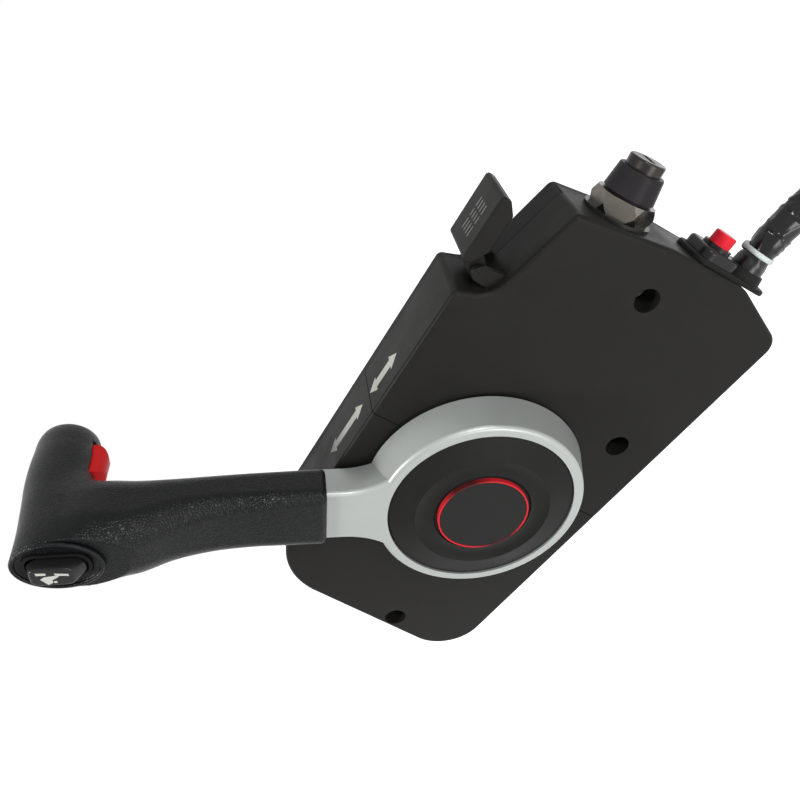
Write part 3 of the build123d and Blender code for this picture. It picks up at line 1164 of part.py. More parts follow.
# ---------------------------------------------------------------- harness
GLAND_TOP_X = AFT_X + SWITCH_PLATE_T + GLAND
HARNESS_ROUTE = [        # x, y, z of the loose harness, from the gland to its plug
    (GLAND_TOP_X, -HARNESS_H, HARNESS_Z),
    (179.0, -HARNESS_H, HARNESS_Z),
    (214.0, -44.0, -69.5),
    (236.5, -41.0, -105.0),
    (242.0, -38.0, -165.0),
    (237.5, -36.0, -240.0),
    (240.0, -36.5, -318.0),
]
corners = [Vector(*p) for p in HARNESS_ROUTE]
runs = [b - a for a, b in zip(corners, corners[1:])]
bend_radii = [
    0.45 * min(a.length, b.length) / tan(radians(a.get_angle(b) / 2)) for a, b in zip(runs, runs[1:])
]
print("harness bend radii, mm:", [round(r) for r in bend_radii])
with BuildPart() as harness:
    with BuildLine() as harness_line:
        FilletPolyline(*HARNESS_ROUTE, radius=bend_radii)
    harness_run = harness_line.wire()
    with BuildSketch(Plane(origin=harness_run @ 0, z_dir=harness_run % 0)):
        Circle(HARNESS_R)
    sweep()
save(harness, "harness")
print("harness length, mm:", round(harness_run.length, 1),
      "volume ratio:", round(harness.part.volume / (pi * HARNESS_R ** 2 * harness_run.length), 4))

with BuildPart() as harness_tie:
    with BuildSketch(aft_level(GLAND_TOP_X + TIE_REACH - TIE_WIDTH / 2)):
        with Locations((HARNESS_Z, HARNESS_H)):
            Circle(HARNESS_R + TIE_T)
            with Locations((0, HARNESS_R + TIE_T)):
                RectangleRounded(*TIE_HEAD)
            Circle(HARNESS_R + SEAT_FIT, mode=Mode.SUBTRACT)
    extrude(amount=TIE_WIDTH)
save(harness_tie, "harness_tie")

PLUG_PLANE = Plane(
    origin=harness_run @ 1, x_dir=(0, 1, 0), z_dir=harness_run % 1
)
with BuildPart() as harness_plug:
    with BuildSketch(PLUG_PLANE):
        Circle(HARNESS_R + PLUG_NECK_RIM)
    with BuildSketch(PLUG_PLANE.offset(PLUG_NECK)):
        RectangleRounded(PLUG[1] - 2 * PLUG_SHOULDER, PLUG[0] - 2 * PLUG_SHOULDER, PLUG_CORNER_R)
    loft()
    with BuildSketch(PLUG_PLANE.offset(PLUG_NECK)):
        RectangleRounded(PLUG[1], PLUG[0], PLUG_CORNER_R)
    extrude(amount=PLUG[2] - PLUG_NECK)
    with BuildSketch(PLUG_PLANE.offset(PLUG[2])):
        RectangleRounded(PLUG[1] - 2 * PLUG_WALL, PLUG[0] - 2 * PLUG_WALL, PLUG_MOUTH_R)
        with GridLocations(PIN_PITCH, PIN_PITCH, *PIN_COUNT):
            Circle(PIN_R, mode=Mode.SUBTRACT)
    extrude(amount=-PLUG_MOUTH, mode=Mode.SUBTRACT)
    with BuildSketch(PLUG_PLANE.offset(LATCH_START)):
        with Locations((PLUG[1] / 2 + LATCH[1] / 2, 0)):
            Rectangle(LATCH[1], LATCH[0])
    extrude(amount=LATCH[2])
save(harness_plug, "harness_plug")
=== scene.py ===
"""Finishes, lever, grip, switches and harness of a side-mount boat throttle control.

Every size is in metres in the row frame: +X along the top edge towards the key switch, +Z up, and
-Y out of the mounting face.  "height" is the distance from that face.  The lever has axes of its
own: across it, out along it, and height.
"""
import math

import bmesh
import bpy
import numpy as np
from mathutils import Matrix, Vector


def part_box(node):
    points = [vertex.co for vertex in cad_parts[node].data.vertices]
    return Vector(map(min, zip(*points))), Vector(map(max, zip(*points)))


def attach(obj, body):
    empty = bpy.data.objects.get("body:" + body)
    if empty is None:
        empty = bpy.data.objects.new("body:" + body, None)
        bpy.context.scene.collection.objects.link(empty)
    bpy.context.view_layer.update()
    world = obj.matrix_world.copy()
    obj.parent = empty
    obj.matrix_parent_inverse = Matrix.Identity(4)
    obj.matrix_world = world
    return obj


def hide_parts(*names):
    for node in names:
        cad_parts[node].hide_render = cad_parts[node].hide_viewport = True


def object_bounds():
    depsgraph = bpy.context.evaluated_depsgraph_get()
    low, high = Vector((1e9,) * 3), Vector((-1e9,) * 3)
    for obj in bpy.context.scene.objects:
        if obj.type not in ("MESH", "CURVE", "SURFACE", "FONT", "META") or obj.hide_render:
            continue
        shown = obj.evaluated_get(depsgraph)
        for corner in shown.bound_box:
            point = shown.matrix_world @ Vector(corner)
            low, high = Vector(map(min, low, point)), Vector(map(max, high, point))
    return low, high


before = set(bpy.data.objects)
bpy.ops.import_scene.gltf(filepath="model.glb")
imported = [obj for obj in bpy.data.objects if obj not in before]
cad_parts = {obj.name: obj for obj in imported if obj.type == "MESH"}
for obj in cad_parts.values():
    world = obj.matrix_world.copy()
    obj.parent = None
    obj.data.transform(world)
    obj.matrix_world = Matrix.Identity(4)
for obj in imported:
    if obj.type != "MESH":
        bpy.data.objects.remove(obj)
CAD_BOX = [[float(x) for x in corner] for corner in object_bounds()]

bl_info = {
    "name": "Boat throttle control",
    "version": (1, 0, 0),
    "blender": (4, 5, 0),
    "location": "3D View > Sidebar > Throttle",
    "description": "Dresses a side-mount throttle and shift control",
    "category": "Object",
}

MM = 0.001

# ------------------------------------------------------------------ the lever's own axes
LEAN = math.radians(26.4)
ACROSS = np.array((math.cos(LEAN), 0.0, math.sin(LEAN)))
ALONG = np.array((-math.sin(LEAN), 0.0, math.cos(LEAN)))
OUT = np.array((0.0, -1.0, 0.0))


def from_lever(across, along, height):
    """Points in the row frame from the lever's own coordinates, given in millimetres."""
    across, along, height = np.broadcast_arrays(across, along, height)
    return MM * (across[..., None] * ACROSS + along[..., None] * ALONG + height[..., None] * OUT)


# ------------------------------------------------------------------ mesh helpers
def grid_quads(rows, cols, wrap_cols=False, wrap_rows=False, start=0):
    """Corner numbers of the quads of a grid whose points are stored row by row."""
    r = np.arange(rows if wrap_rows else rows - 1)
    c = np.arange(cols if wrap_cols else cols - 1)
    r, c = np.meshgrid(r, c, indexing="ij")
    r2, c2 = (r + 1) % rows, (c + 1) % cols
    quads = np.stack([r * cols + c, r * cols + c2, r2 * cols + c2, r2 * cols + c], axis=-1)
    return quads.reshape(-1, 4) + start


def mesh_object(name, points, faces, sharp_deg=40.0, outward=True):
    """A mesh object from an array of points and a list of face arrays, shaded smooth."""
    mesh = bpy.data.meshes.new(name)
    mesh.from_pydata(np.asarray(points, float).reshape(-1, 3).tolist(), [],
                     [f for block in faces for f in np.asarray(block).tolist()])
    mesh.polygons.foreach_set("use_smooth", np.ones(len(mesh.polygons), bool))
    piece = bpy.data.objects.new(name, mesh)
    bpy.context.scene.collection.objects.link(piece)
    if outward:
        face_outwards(mesh)
    mesh.set_sharp_from_angle(angle=math.radians(sharp_deg))
    mesh.update()
    return piece


def face_outwards(mesh):
    """Recalculates the normals of a closed mesh so that they point out."""
    work = bmesh.new()
    work.from_mesh(mesh)
    bmesh.ops.remove_doubles(work, verts=work.verts, dist=1e-7)
    bmesh.ops.recalc_face_normals(work, faces=work.faces)
    work.to_mesh(mesh)
    work.free()


def rounded_corner(before, corner, after, radius, count=6):
    """Points that round one corner of a profile: a quadratic curve that touches both sides."""
    before, corner, after = (np.asarray(p, float) for p in (before, corner, after))
    a = corner + (before - corner) / np.linalg.norm(before - corner) * radius
    b = corner + (after - corner) / np.linalg.norm(after - corner) * radius
    t = np.linspace(0, 1, count)[:, None]
    return (1 - t) ** 2 * a + 2 * t * (1 - t) * corner + t ** 2 * b


def soft_profile(corners):
    """A profile from (x, y, rounding) corners, each rounded by its own amount."""
    rows = []
    for i, (x, y, rounding) in enumerate(corners):
        if rounding and 0 < i < len(corners) - 1:
            rows.append(rounded_corner(corners[i - 1][:2], (x, y), corners[i + 1][:2], rounding))
        else:
            rows.append(np.array([[x, y]], float))
    return np.vstack(rows)


def implicit_surface(name, field, low, high, step):
    """Surface where field(across, along, height) is zero, in the lever's millimetres.

    The field is sampled on a grid.  Each cell that it changes sign in gets one point, the mean of
    the crossings on the cell's edges, and each grid edge that it changes sign on gets one quad
    between the four cells round it.  Three Newton steps along the field's slope then put every
    point on the surface itself.
    """
    axes = [np.arange(a, b + step, step) for a, b in zip(low, high)]
    x, y, z = np.meshgrid(*axes, indexing="ij")
    value = field(x, y, z)
    shape = np.array(value.shape) - 1
    total, count = np.zeros((*shape, 3)), np.zeros(shape)
    corners = np.array([[i, j, k] for i in (0, 1) for j in (0, 1) for k in (0, 1)])
    view = {tuple(c): value[c[0]:c[0] + shape[0], c[1]:c[1] + shape[1], c[2]:c[2] + shape[2]]
            for c in corners}
    for a in view:
        for d in range(3):
            if a[d]:
                continue
            b = tuple(1 if i == d else a[i] for i in range(3))
            va, vb = view[a], view[b]
            cross = (va < 0) != (vb < 0)
            part = np.where(cross, va / np.where(cross, va - vb, 1), 0)
            spot = np.array(a, float) + part[..., None] * np.eye(3)[d]
            total += np.where(cross[..., None], spot, 0)
            count += cross
    used = count > 0
    number = np.full(shape, -1)
    number[used] = np.arange(used.sum())
    cell = np.argwhere(used)
    points = (cell + total[used] / count[used][:, None]) * step + np.array([a[0] for a in axes])
    faces = []
    for d in range(3):
        e, f = [i for i in range(3) if i != d]
        first = [slice(None)] * 3
        second = [slice(None)] * 3
        first[d], second[d] = slice(0, -1), slice(1, None)
        a, b = value[tuple(first)], value[tuple(second)]
        where = np.argwhere((a < 0) != (b < 0))
        inner = np.all((where[:, [e, f]] > 0) & (where[:, [e, f]] < shape[[e, f]]), axis=1)
        where = where[inner]
        flip = (a[tuple(where.T)] < 0) == (d != 1)
        ring = []
        for de, df in ((-1, -1), (0, -1), (0, 0), (-1, 0)):
            spot = where.copy()
            spot[:, e] += de
            spot[:, f] += df
            ring.append(number[tuple(spot.T)])
        quads = np.stack(ring, axis=-1)
        faces.append(np.where(flip[:, None], quads, quads[:, ::-1]))
    reach = 0.05
    for _ in range(3):
        px, py, pz = points.T
        slope = np.stack([field(px + reach * (i == 0), py + reach * (i == 1), pz + reach * (i == 2))
                          - field(px - reach * (i == 0), py - reach * (i == 1), pz - reach * (i == 2))
                          for i in range(3)], axis=-1) / (2 * reach)
        here = field(px, py, pz)
        move = slope * (here / np.maximum((slope ** 2).sum(1), 1e-3))[:, None]
        points = points - np.clip(move, -0.5 * step, 0.5 * step)
    return mesh_object(name, from_lever(*points.T), faces, sharp_deg=75)


# ------------------------------------------------------------------ shader groups
def group(name, inputs, outputs):
    """A new shader node group with named sockets, its input and output nodes, and its tree."""
    tree = bpy.data.node_groups.new(name, "ShaderNodeTree")
    for label, kind, value in inputs:
        socket = tree.interface.new_socket(label, in_out="INPUT", socket_type=kind)
        if value is not None:
            socket.default_value = value
    for label, kind in outputs:
        tree.interface.new_socket(label, in_out="OUTPUT", socket_type=kind)
    return tree, tree.nodes.new("NodeGroupInput"), tree.nodes.new("NodeGroupOutput")


def math_node(tree, operation, a, b=None):
    """A Math node fed by sockets or numbers; returns its output."""
    node = tree.nodes.new("ShaderNodeMath")
    node.operation = operation
    for socket, value in zip(node.inputs, (a, b)):
        if value is None:
            continue
        if isinstance(value, (int, float)):
            socket.default_value = value
        else:
            tree.links.new(value, socket)
    return node.outputs[0]


def noise_node(tree, vector, scale, detail=3.0, roughness=0.5):
    """A Noise Texture on a vector socket; returns its value."""
    node = tree.nodes.new("ShaderNodeTexNoise")
    node.inputs["Detail"].default_value = detail
    node.inputs["Roughness"].default_value = roughness
    tree.links.new(vector, node.inputs["Vector"])
    if isinstance(scale, (int, float)):
        node.inputs["Scale"].default_value = scale
    else:
        tree.links.new(scale, node.inputs["Scale"])
    return node.outputs[0]


def range_node(tree, value, low, high, to_low, to_high):
    """A Map Range node; any limit may be a number or a socket."""
    node = tree.nodes.new("ShaderNodeMapRange")
    tree.links.new(value, node.inputs["Value"])
    for label, limit in (("From Min", low), ("From Max", high), ("To Min", to_low), ("To Max", to_high)):
        if isinstance(limit, (int, float)):
            node.inputs[label].default_value = limit
        else:
            tree.links.new(limit, node.inputs[label])
    return node.outputs[0]


def moulded_texture_group():
    """Spark-eroded mould texture: fine bumps, with broad uneven gloss from handling."""
    tree, start, end = group(
        "Moulded texture",
        [("Vector", "NodeSocketVector", None), ("Grain", "NodeSocketFloat", 900.0),
         ("Gloss Low", "NodeSocketFloat", 0.35), ("Gloss High", "NodeSocketFloat", 0.5)],
        [("Tone", "NodeSocketFloat"), ("Roughness", "NodeSocketFloat"), ("Height", "NodeSocketFloat")])
    grain = noise_node(tree, start.outputs["Vector"], start.outputs["Grain"], 2.0, 0.6)
    broad = noise_node(tree, start.outputs["Vector"], 22.0, 3.0, 0.55)
    smear = noise_node(tree, start.outputs["Vector"], 90.0, 4.0, 0.65)
    tone = math_node(tree, "ADD", math_node(tree, "MULTIPLY", broad, 0.6),
                     math_node(tree, "MULTIPLY", smear, 0.4))
    rough = range_node(tree, tone, 0.35, 0.65, start.outputs["Gloss Low"], start.outputs["Gloss High"])
    tree.links.new(tone, end.inputs["Tone"])
    tree.links.new(rough, end.inputs["Roughness"])
    tree.links.new(grain, end.inputs["Height"])
    return tree


def leather_group():
    """Leather grain: rounded pebbles between creases, in two sizes, with worn shiny crowns."""
    tree, start, end = group(
        "Leather grain",
        [("Vector", "NodeSocketVector", None), ("Pebble", "NodeSocketFloat", 1100.0)],
        [("Crown", "NodeSocketFloat"), ("Height", "NodeSocketFloat"), ("Tone", "NodeSocketFloat")])
    bend = noise_node(tree, start.outputs["Vector"], 420.0, 2.0)
    warp = tree.nodes.new("ShaderNodeVectorMath")
    warp.operation = "MULTIPLY_ADD"
    tree.links.new(bend, warp.inputs[0])
    warp.inputs[1].default_value = (0.0012, 0.0012, 0.0012)
    tree.links.new(start.outputs["Vector"], warp.inputs[2])
    pebble = tree.nodes.new("ShaderNodeTexVoronoi")
    pebble.feature = "DISTANCE_TO_EDGE"
    tree.links.new(warp.outputs[0], pebble.inputs["Vector"])
    tree.links.new(start.outputs["Pebble"], pebble.inputs["Scale"])
    crown = range_node(tree, pebble.outputs[0], 0.0, 0.28, 0.0, 1.0)
    fine = noise_node(tree, start.outputs["Vector"], 3800.0, 2.0)
    height = math_node(tree, "ADD", crown, math_node(tree, "MULTIPLY", fine, 0.35))
    tree.links.new(crown, end.inputs["Crown"])
    tree.links.new(height, end.inputs["Height"])
    tree.links.new(noise_node(tree, start.outputs["Vector"], 45.0, 4.0), end.inputs["Tone"])
    return tree


def lines_group():
    """Fine turned or drawn lines: noise stretched along one way, for machined and brushed metal."""
    tree, start, end = group(
        "Drawn lines",
        [("Vector", "NodeSocketVector", None), ("Stretch", "NodeSocketVector", (60.0, 2500.0, 2500.0))],
        [("Lines", "NodeSocketFloat"), ("Tone", "NodeSocketFloat")])
    scale = tree.nodes.new("ShaderNodeVectorMath")
    scale.operation = "MULTIPLY"
    tree.links.new(start.outputs["Vector"], scale.inputs[0])
    tree.links.new(start.outputs["Stretch"], scale.inputs[1])
    tree.links.new(noise_node(tree, scale.outputs[0], 1.0, 3.0), end.inputs["Lines"])
    tree.links.new(noise_node(tree, start.outputs["Vector"], 120.0, 4.0), end.inputs["Tone"])
    return tree


class Finish:
    """One material under construction: its tree, its Principled BSDF and its object coordinates."""

    def __init__(self, name, base, roughness, metallic=0.0, specular=0.5, coat=0.0, coat_roughness=0.1):
        self.material = bpy.data.materials.new(name)
        self.material.use_nodes = True
        self.material.diffuse_color = (*base, 1.0)
        self.tree = self.material.node_tree
        self.base = base
        self.bsdf = self.tree.nodes["Principled BSDF"]
        for label, value in (("Base Color", (*base, 1.0)), ("Roughness", roughness),
                             ("Metallic", metallic), ("Specular IOR Level", specular),
                             ("Coat Weight", coat), ("Coat Roughness", coat_roughness)):
            self.bsdf.inputs[label].default_value = value
        self.coordinates = self.tree.nodes.new("ShaderNodeTexCoord").outputs["Object"]

    def effect(self, tree, **values):
        """Places a shader group on the object coordinates, with its own values."""
        node = self.tree.nodes.new("ShaderNodeGroup")
        node.node_tree = tree
        self.tree.links.new(self.coordinates, node.inputs["Vector"])
        for label, value in values.items():
            node.inputs[label.replace("_", " ")].default_value = value
        return node

    def two_tone(self, mask, other):
        """Mixes the base colour towards another by a mask."""
        mix = self.tree.nodes.new("ShaderNodeMix")
        mix.data_type = "RGBA"
        mix.inputs["A"].default_value = (*self.base, 1.0)
        mix.inputs["B"].default_value = (*other, 1.0)
        self.tree.links.new(mask, mix.inputs["Factor"])
        self.tree.links.new(mix.outputs["Result"], self.bsdf.inputs["Base Color"])

    def bump(self, height, strength, distance):
        """Feeds a height to the surface's normal; distance is in metres."""
        node = self.tree.nodes.new("ShaderNodeBump")
        node.inputs["Strength"].default_value = strength
        node.inputs["Distance"].default_value = distance
        self.tree.links.new(height, node.inputs["Height"])
        self.tree.links.new(node.outputs["Normal"], self.bsdf.inputs["Normal"])

    def link(self, socket, label):
        """Feeds one input of the Principled BSDF."""
        self.tree.links.new(socket, self.bsdf.inputs[label])


GROUPS = {}
FINISHES = {}


def moulded(name, base, light, grain, gloss, depth, specular=0.07):
    """Moulded plastic with mould texture, faint tone changes and uneven gloss."""
    finish = Finish(name, base, gloss[0], specular=specular)
    texture = finish.effect(GROUPS["moulded"], Grain=grain, Gloss_Low=gloss[0], Gloss_High=gloss[1])
    finish.two_tone(texture.outputs["Tone"], light)
    finish.link(texture.outputs["Roughness"], "Roughness")
    finish.bump(texture.outputs["Height"], 0.35, depth)
    FINISHES[name] = finish.material
    return finish


def machined(name, base, dark, gloss, stretch, depth=0.00002):
    """Metal with drawn or turned lines, and duller patches where it has been handled."""
    finish = Finish(name, base, gloss[0], metallic=1.0)
    lines = finish.effect(GROUPS["lines"], Stretch=stretch)
    finish.two_tone(lines.outputs["Tone"], dark)
    finish.link(range_node(finish.tree, lines.outputs["Tone"], 0.3, 0.7, gloss[0], gloss[1]), "Roughness")
    finish.bump(lines.outputs["Lines"], 0.3, depth)
    FINISHES[name] = finish.material
    return finish


def dress(names, finish):
    """Gives CAD nodes one finish."""
    for name in names:
        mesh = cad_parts[name].data
        mesh.materials.clear()
        mesh.materials.append(FINISHES[finish])


def finish_piece(piece, finish, body):
    """Gives a new piece its finish and its body."""
    piece.data.materials.append(FINISHES[finish])
    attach(piece, body)
    return piece


def colour(name, description, default):
    """A colour that a user may change."""
    return bpy.props.FloatVectorProperty(name=name, description=description, subtype="COLOR", size=3,
                                         min=0.0, max=1.0, default=default)


def length(name, description, default_mm):
    """A length that a user may change, given here in millimetres."""
    return bpy.props.FloatProperty(name=name, description=description, subtype="DISTANCE",
                                   unit="LENGTH", default=default_mm * MM)


def share(name, description, default):
    """A number from 0 to 1 that a user may change."""
    return bpy.props.FloatProperty(name=name, description=description, subtype="FACTOR",
                                   min=0.0, max=1.0, default=default)


def mm(value):
    """A property's metres as millimetres."""
    return value / MM


# ------------------------------------------------------------------ settings
class CaseSettings(bpy.types.PropertyGroup):
    """Colours and gloss of the covers and the rear housing"""
    cover_colour: colour("Cover", "Front covers and free throttle lever", (0.0085, 0.0080, 0.0072))
    cover_light: colour("Cover, paler", "Paler patches of the covers", (0.013, 0.0127, 0.0120))
    housing_colour: colour("Housing", "Rear housing", (0.010, 0.010, 0.0098))
    gloss: share("Roughness", "Roughness of the glossiest patches of the covers", 0.33)


class MarkingSettings(bpy.types.PropertyGroup):
    """Place, size and colour of the printed markings"""
    ink: colour("Ink", "Printed arrows and dashes", (0.52, 0.53, 0.48))
    strip_z: length("Strip", "Height of the top edge that carries the arrows", 61.5)
    arrow_height: length("Arrows", "Middle of the arrows, from the mounting face", 47.0)
    arrow_width: length("Arrow width", "Width across an arrow's heads", 9.0)
    thickness: length("Film", "Thickness of a printed marking", 0.08)


class LeverSettings(bpy.types.PropertyGroup):
    """Colours of the casting and its hub"""
    silver: colour("Silver", "Clear-coated casting", (0.325, 0.345, 0.33))
    silver_dark: colour("Silver, duller", "Duller patches of the casting", (0.28, 0.30, 0.29))
    cover_colour: colour("Hub cover", "Cover in the hub", (0.008, 0.0078, 0.0075))
    cap_colour: colour("Cap", "Cap in the middle of the hub", (0.010, 0.0097, 0.0095))
    ring_colour: colour("Ring", "Thin ring round the cap", (0.50, 0.018, 0.025))


class GripSettings(bpy.types.PropertyGroup):
    """Colours of the grip, and the sizes that its surface follows"""
    colour: colour("Grip", "Soft grip", (0.0025, 0.0028, 0.0032))
    crown_colour: colour("Crowns", "Worn crowns of the leather grain", (0.0055, 0.006, 0.0065))
    start: length("Start", "Where the grip starts along the lever", 67.5)
    bar: length("Bar", "Cross bar's axis along the lever", 178.85)
    blend: length("Blend", "How softly the sleeve runs into the cross bar", 12.0)
    end_height: length("End", "Height of the cross bar's outer end", 97.8)
    rim: length("Rim", "Width of the bead round the bar's outer end", 1.8)


class SwitchSettings(bpy.types.PropertyGroup):
    """Colours of the trigger, buttons and switches"""
    red: colour("Red", "Lock trigger", (0.74, 0.020, 0.020))
    button_red: colour("Button red", "Stop button", (0.70, 0.018, 0.035))
    nickel: colour("Nut", "Plated nut of the key switch", (0.16, 0.148, 0.128))
    bezel: colour("Bezel", "Key switch bezel", (0.012, 0.0105, 0.012))
    black: colour("Black", "Switch bodies and rocker", (0.008, 0.008, 0.008))


class HarnessSettings(bpy.types.PropertyGroup):
    """Sheath and tie of the harness"""
    colour: colour("Sheath", "Crinkled sheath", (0.004, 0.004, 0.0042))
    diameter: length("Diameter", "Harness with its sheath", 14.0)
    crinkle: length("Crinkle", "Depth of the sheath's creases", 0.9)
    tie_colour: colour("Tie", "Cable tie", (0.52, 0.56, 0.56))
    tie_width: length("Tie width", "Width of the tie's strap", 2.2)
    tie_thickness: length("Tie thickness", "Thickness of the tie's strap", 1.2)


class StageSettings(bpy.types.PropertyGroup):
    """Floor, lamps and lens"""
    floor_colour: colour("Floor", "Plain floor", (0.82, 0.82, 0.82))
    floor_lift: share("Floor lift", "How much paler the floor is seen than it is lit", 0.72)
    sky: share("Room light", "Level of the light from all round", 0.34)
    lamps: share("Lamps", "Level of the three lamps", 1.0)
    lens: bpy.props.FloatProperty(name="Lens", description="Focal length in millimetres",
                                  subtype="DISTANCE_CAMERA", default=33.9)


# ------------------------------------------------------------------ operators
class THROTTLE_OT_case(bpy.types.Operator):
    """Covers and rear housing in moulded black, fixings and sleeves in zinc"""
    bl_idname = "throttle.case"
    bl_label = "Case"

    def execute(self, context):
        look = context.scene.throttle_case
        gloss = (look.gloss, look.gloss + 0.16)
        moulded("cover_black", look.cover_colour, look.cover_light, 1500.0, gloss, 0.00004)
        moulded("housing_black", look.housing_colour, look.cover_light, 900.0, (0.42, 0.58), 0.00008)
        machined("zinc", (0.56, 0.56, 0.52), (0.42, 0.42, 0.38), (0.25, 0.42), (400.0, 400.0, 400.0))
        dress(["front_cover_aft", "front_cover_fore", "throttle_flap", "flap_pin"], "cover_black")
        dress(["rear_housing", "rear_flange", "switch_plate"], "housing_black")
        dress(["mounting_sleeves", "cover_screws"], "zinc")
        return {"FINISHED"}


class THROTTLE_OT_mechanism(bpy.types.Operator):
    """Gears, cranks, shaft, brake and the frame inside the case"""
    bl_idname = "throttle.mechanism"
    bl_label = "Mechanism"

    def execute(self, context):
        machined("steel", (0.52, 0.53, 0.54), (0.38, 0.39, 0.40), (0.22, 0.38), (60.0, 2500.0, 60.0))
        machined("bronze", (0.48, 0.30, 0.12), (0.34, 0.20, 0.08), (0.25, 0.40), (60.0, 2500.0, 60.0))
        moulded("gear_nylon", (0.70, 0.68, 0.60), (0.62, 0.59, 0.50), 1400.0, (0.40, 0.52), 0.00004)
        moulded("friction_pad", (0.085, 0.045, 0.028), (0.14, 0.08, 0.05), 2600.0, (0.75, 0.9), 0.00012)
        dress(["main_shaft", "pivot_pins", "frame_pillars", "friction_drum", "friction_screw",
               "shift_crank", "throttle_crank", "shift_cable_pin", "throttle_cable_pin", "lock_rod",
               "lever_bolt"], "steel")
        dress(["frame_plate", "frame_screws", "cable_clamp"], "zinc")
        dress(["front_bush", "rear_bush"], "bronze")
        dress(["drive_gear", "shift_gear", "throttle_gear"], "gear_nylon")
        dress(["friction_shoe"], "friction_pad")
        dress(["neutral_switch", "warning_buzzer"], "switch_black")
        return {"FINISHED"}


def arrow_outline(start, end, middle, width):
    """A double-headed arrow's outline: a shaft with a triangular head at each end."""
    head, shaft = 0.62 * width, 0.25 * width
    half = width / 2
    return np.array([
        (start, middle), (start + head, middle + half), (start + head, middle + shaft),
        (end - head, middle + shaft), (end - head, middle + half), (end, middle),
        (end - head, middle - half), (end - head, middle - shaft),
        (start + head, middle - shaft), (start + head, middle - half)])


def printed_shape(name, outline, place, thickness):
    """A flat outline with a small thickness; place turns (u, v, rise) into points in metres."""
    outline = np.asarray(outline, float)
    count = len(outline)
    u, v = np.tile(outline[:, 0], 2), np.tile(outline[:, 1], 2)
    rise = np.repeat([0.0, thickness], count)
    points = place(u, v, rise)
    here = np.arange(count)
    there = (here + 1) % count
    walls = np.stack([here, there, there + count, here + count], axis=-1)
    return mesh_object(name, points, [walls, [list(range(count - 1, -1, -1))],
                                      [list(range(count, 2 * count))]], sharp_deg=30)


def on_strip(x, height, rise):
    """Points on the case's top edge, from X, height and rise above the edge in millimetres."""
    strip = mm(bpy.context.scene.throttle_markings.strip_z)
    return MM * np.stack([x, -height, strip + rise], axis=-1)


ARROWS = ("arrow_fore", -20.0, 9.8), ("arrow_aft", 16.4, 39.0)     # from and to, in X
DASHES = 4.4, 3.0, 3.9                 # lengths in a row
DASH_ROWS, DASH_PITCH, DASH_GAP, DASH_HALF = 4, 2.7, 1.1, 0.35
DASH_START, DASH_EDGE = 96.5, 8.0      # X of the first dash, and the first row's way in from the edge


class THROTTLE_OT_markings(bpy.types.Operator):
    """Plain double-headed arrows on the top edge, dashes on the free throttle lever"""
    bl_idname = "throttle.markings"
    bl_label = "Markings"

    def execute(self, context):
        look = context.scene.throttle_markings
        moulded("ink", look.ink, tuple(0.55 * c for c in look.ink), 2200.0, (0.5, 0.62), 0.00003)
        moulded("ink_dim", tuple(0.4 * c for c in look.ink), tuple(0.22 * c for c in look.ink), 2200.0,
                (0.5, 0.62), 0.00003)
        middle, width, film = mm(look.arrow_height), mm(look.arrow_width), mm(look.thickness)
        for name, start, end in ARROWS:
            piece = printed_shape(name, arrow_outline(start, end, middle, width), on_strip, film)
            finish_piece(piece, "ink", "housing")
        low, high = (np.array(c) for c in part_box("throttle_flap"))
        top = high[2] / MM
        for row in range(DASH_ROWS):
            height = -low[1] / MM - DASH_EDGE - DASH_PITCH * row
            start = DASH_START
            for mark, size in enumerate(DASHES):
                dash = [(start, height - DASH_HALF), (start + size, height - DASH_HALF),
                        (start + size, height + DASH_HALF), (start, height + DASH_HALF)]
                start += size + DASH_GAP
                piece = printed_shape(
                    f"dash_{row}_{mark}", dash,
                    lambda x, h, r: MM * np.stack([x, -h, top + r], axis=-1), film)
                finish_piece(piece, "ink_dim", "free_throttle")
        return {"FINISHED"}


RING_UNSHADED = (0.85, 0.0, -0.53)         # the line across the ring that keeps its red; away from it the red is painted over as shade


def accent_red(look):
    """Red along one line across the ring, and darkened towards the cap's black at right angles to it:
    painted shade, standing in for the shade along the cap's edge.
    """
    finish = Finish("accent_red", look.cap_colour, 0.42, specular=0.07)
    texture = finish.effect(GROUPS["moulded"], Grain=900.0, Gloss_Low=0.35, Gloss_High=0.5)
    dot = finish.tree.nodes.new("ShaderNodeVectorMath")
    dot.operation = "DOT_PRODUCT"
    dot.inputs[1].default_value = RING_UNSHADED
    finish.tree.links.new(finish.coordinates, dot.inputs[0])
    # painted shade: the ring's red fades into the cap's black away from that line
    unshaded = range_node(finish.tree, math_node(finish.tree, "ABSOLUTE", dot.outputs["Value"]),
                      0.0045, 0.012, 0.12, 1.0)
    finish.two_tone(unshaded, look.ring_colour)
    finish.link(texture.outputs["Roughness"], "Roughness")
    finish.bump(texture.outputs["Height"], 0.35, 0.00002)
    FINISHES["accent_red"] = finish.material


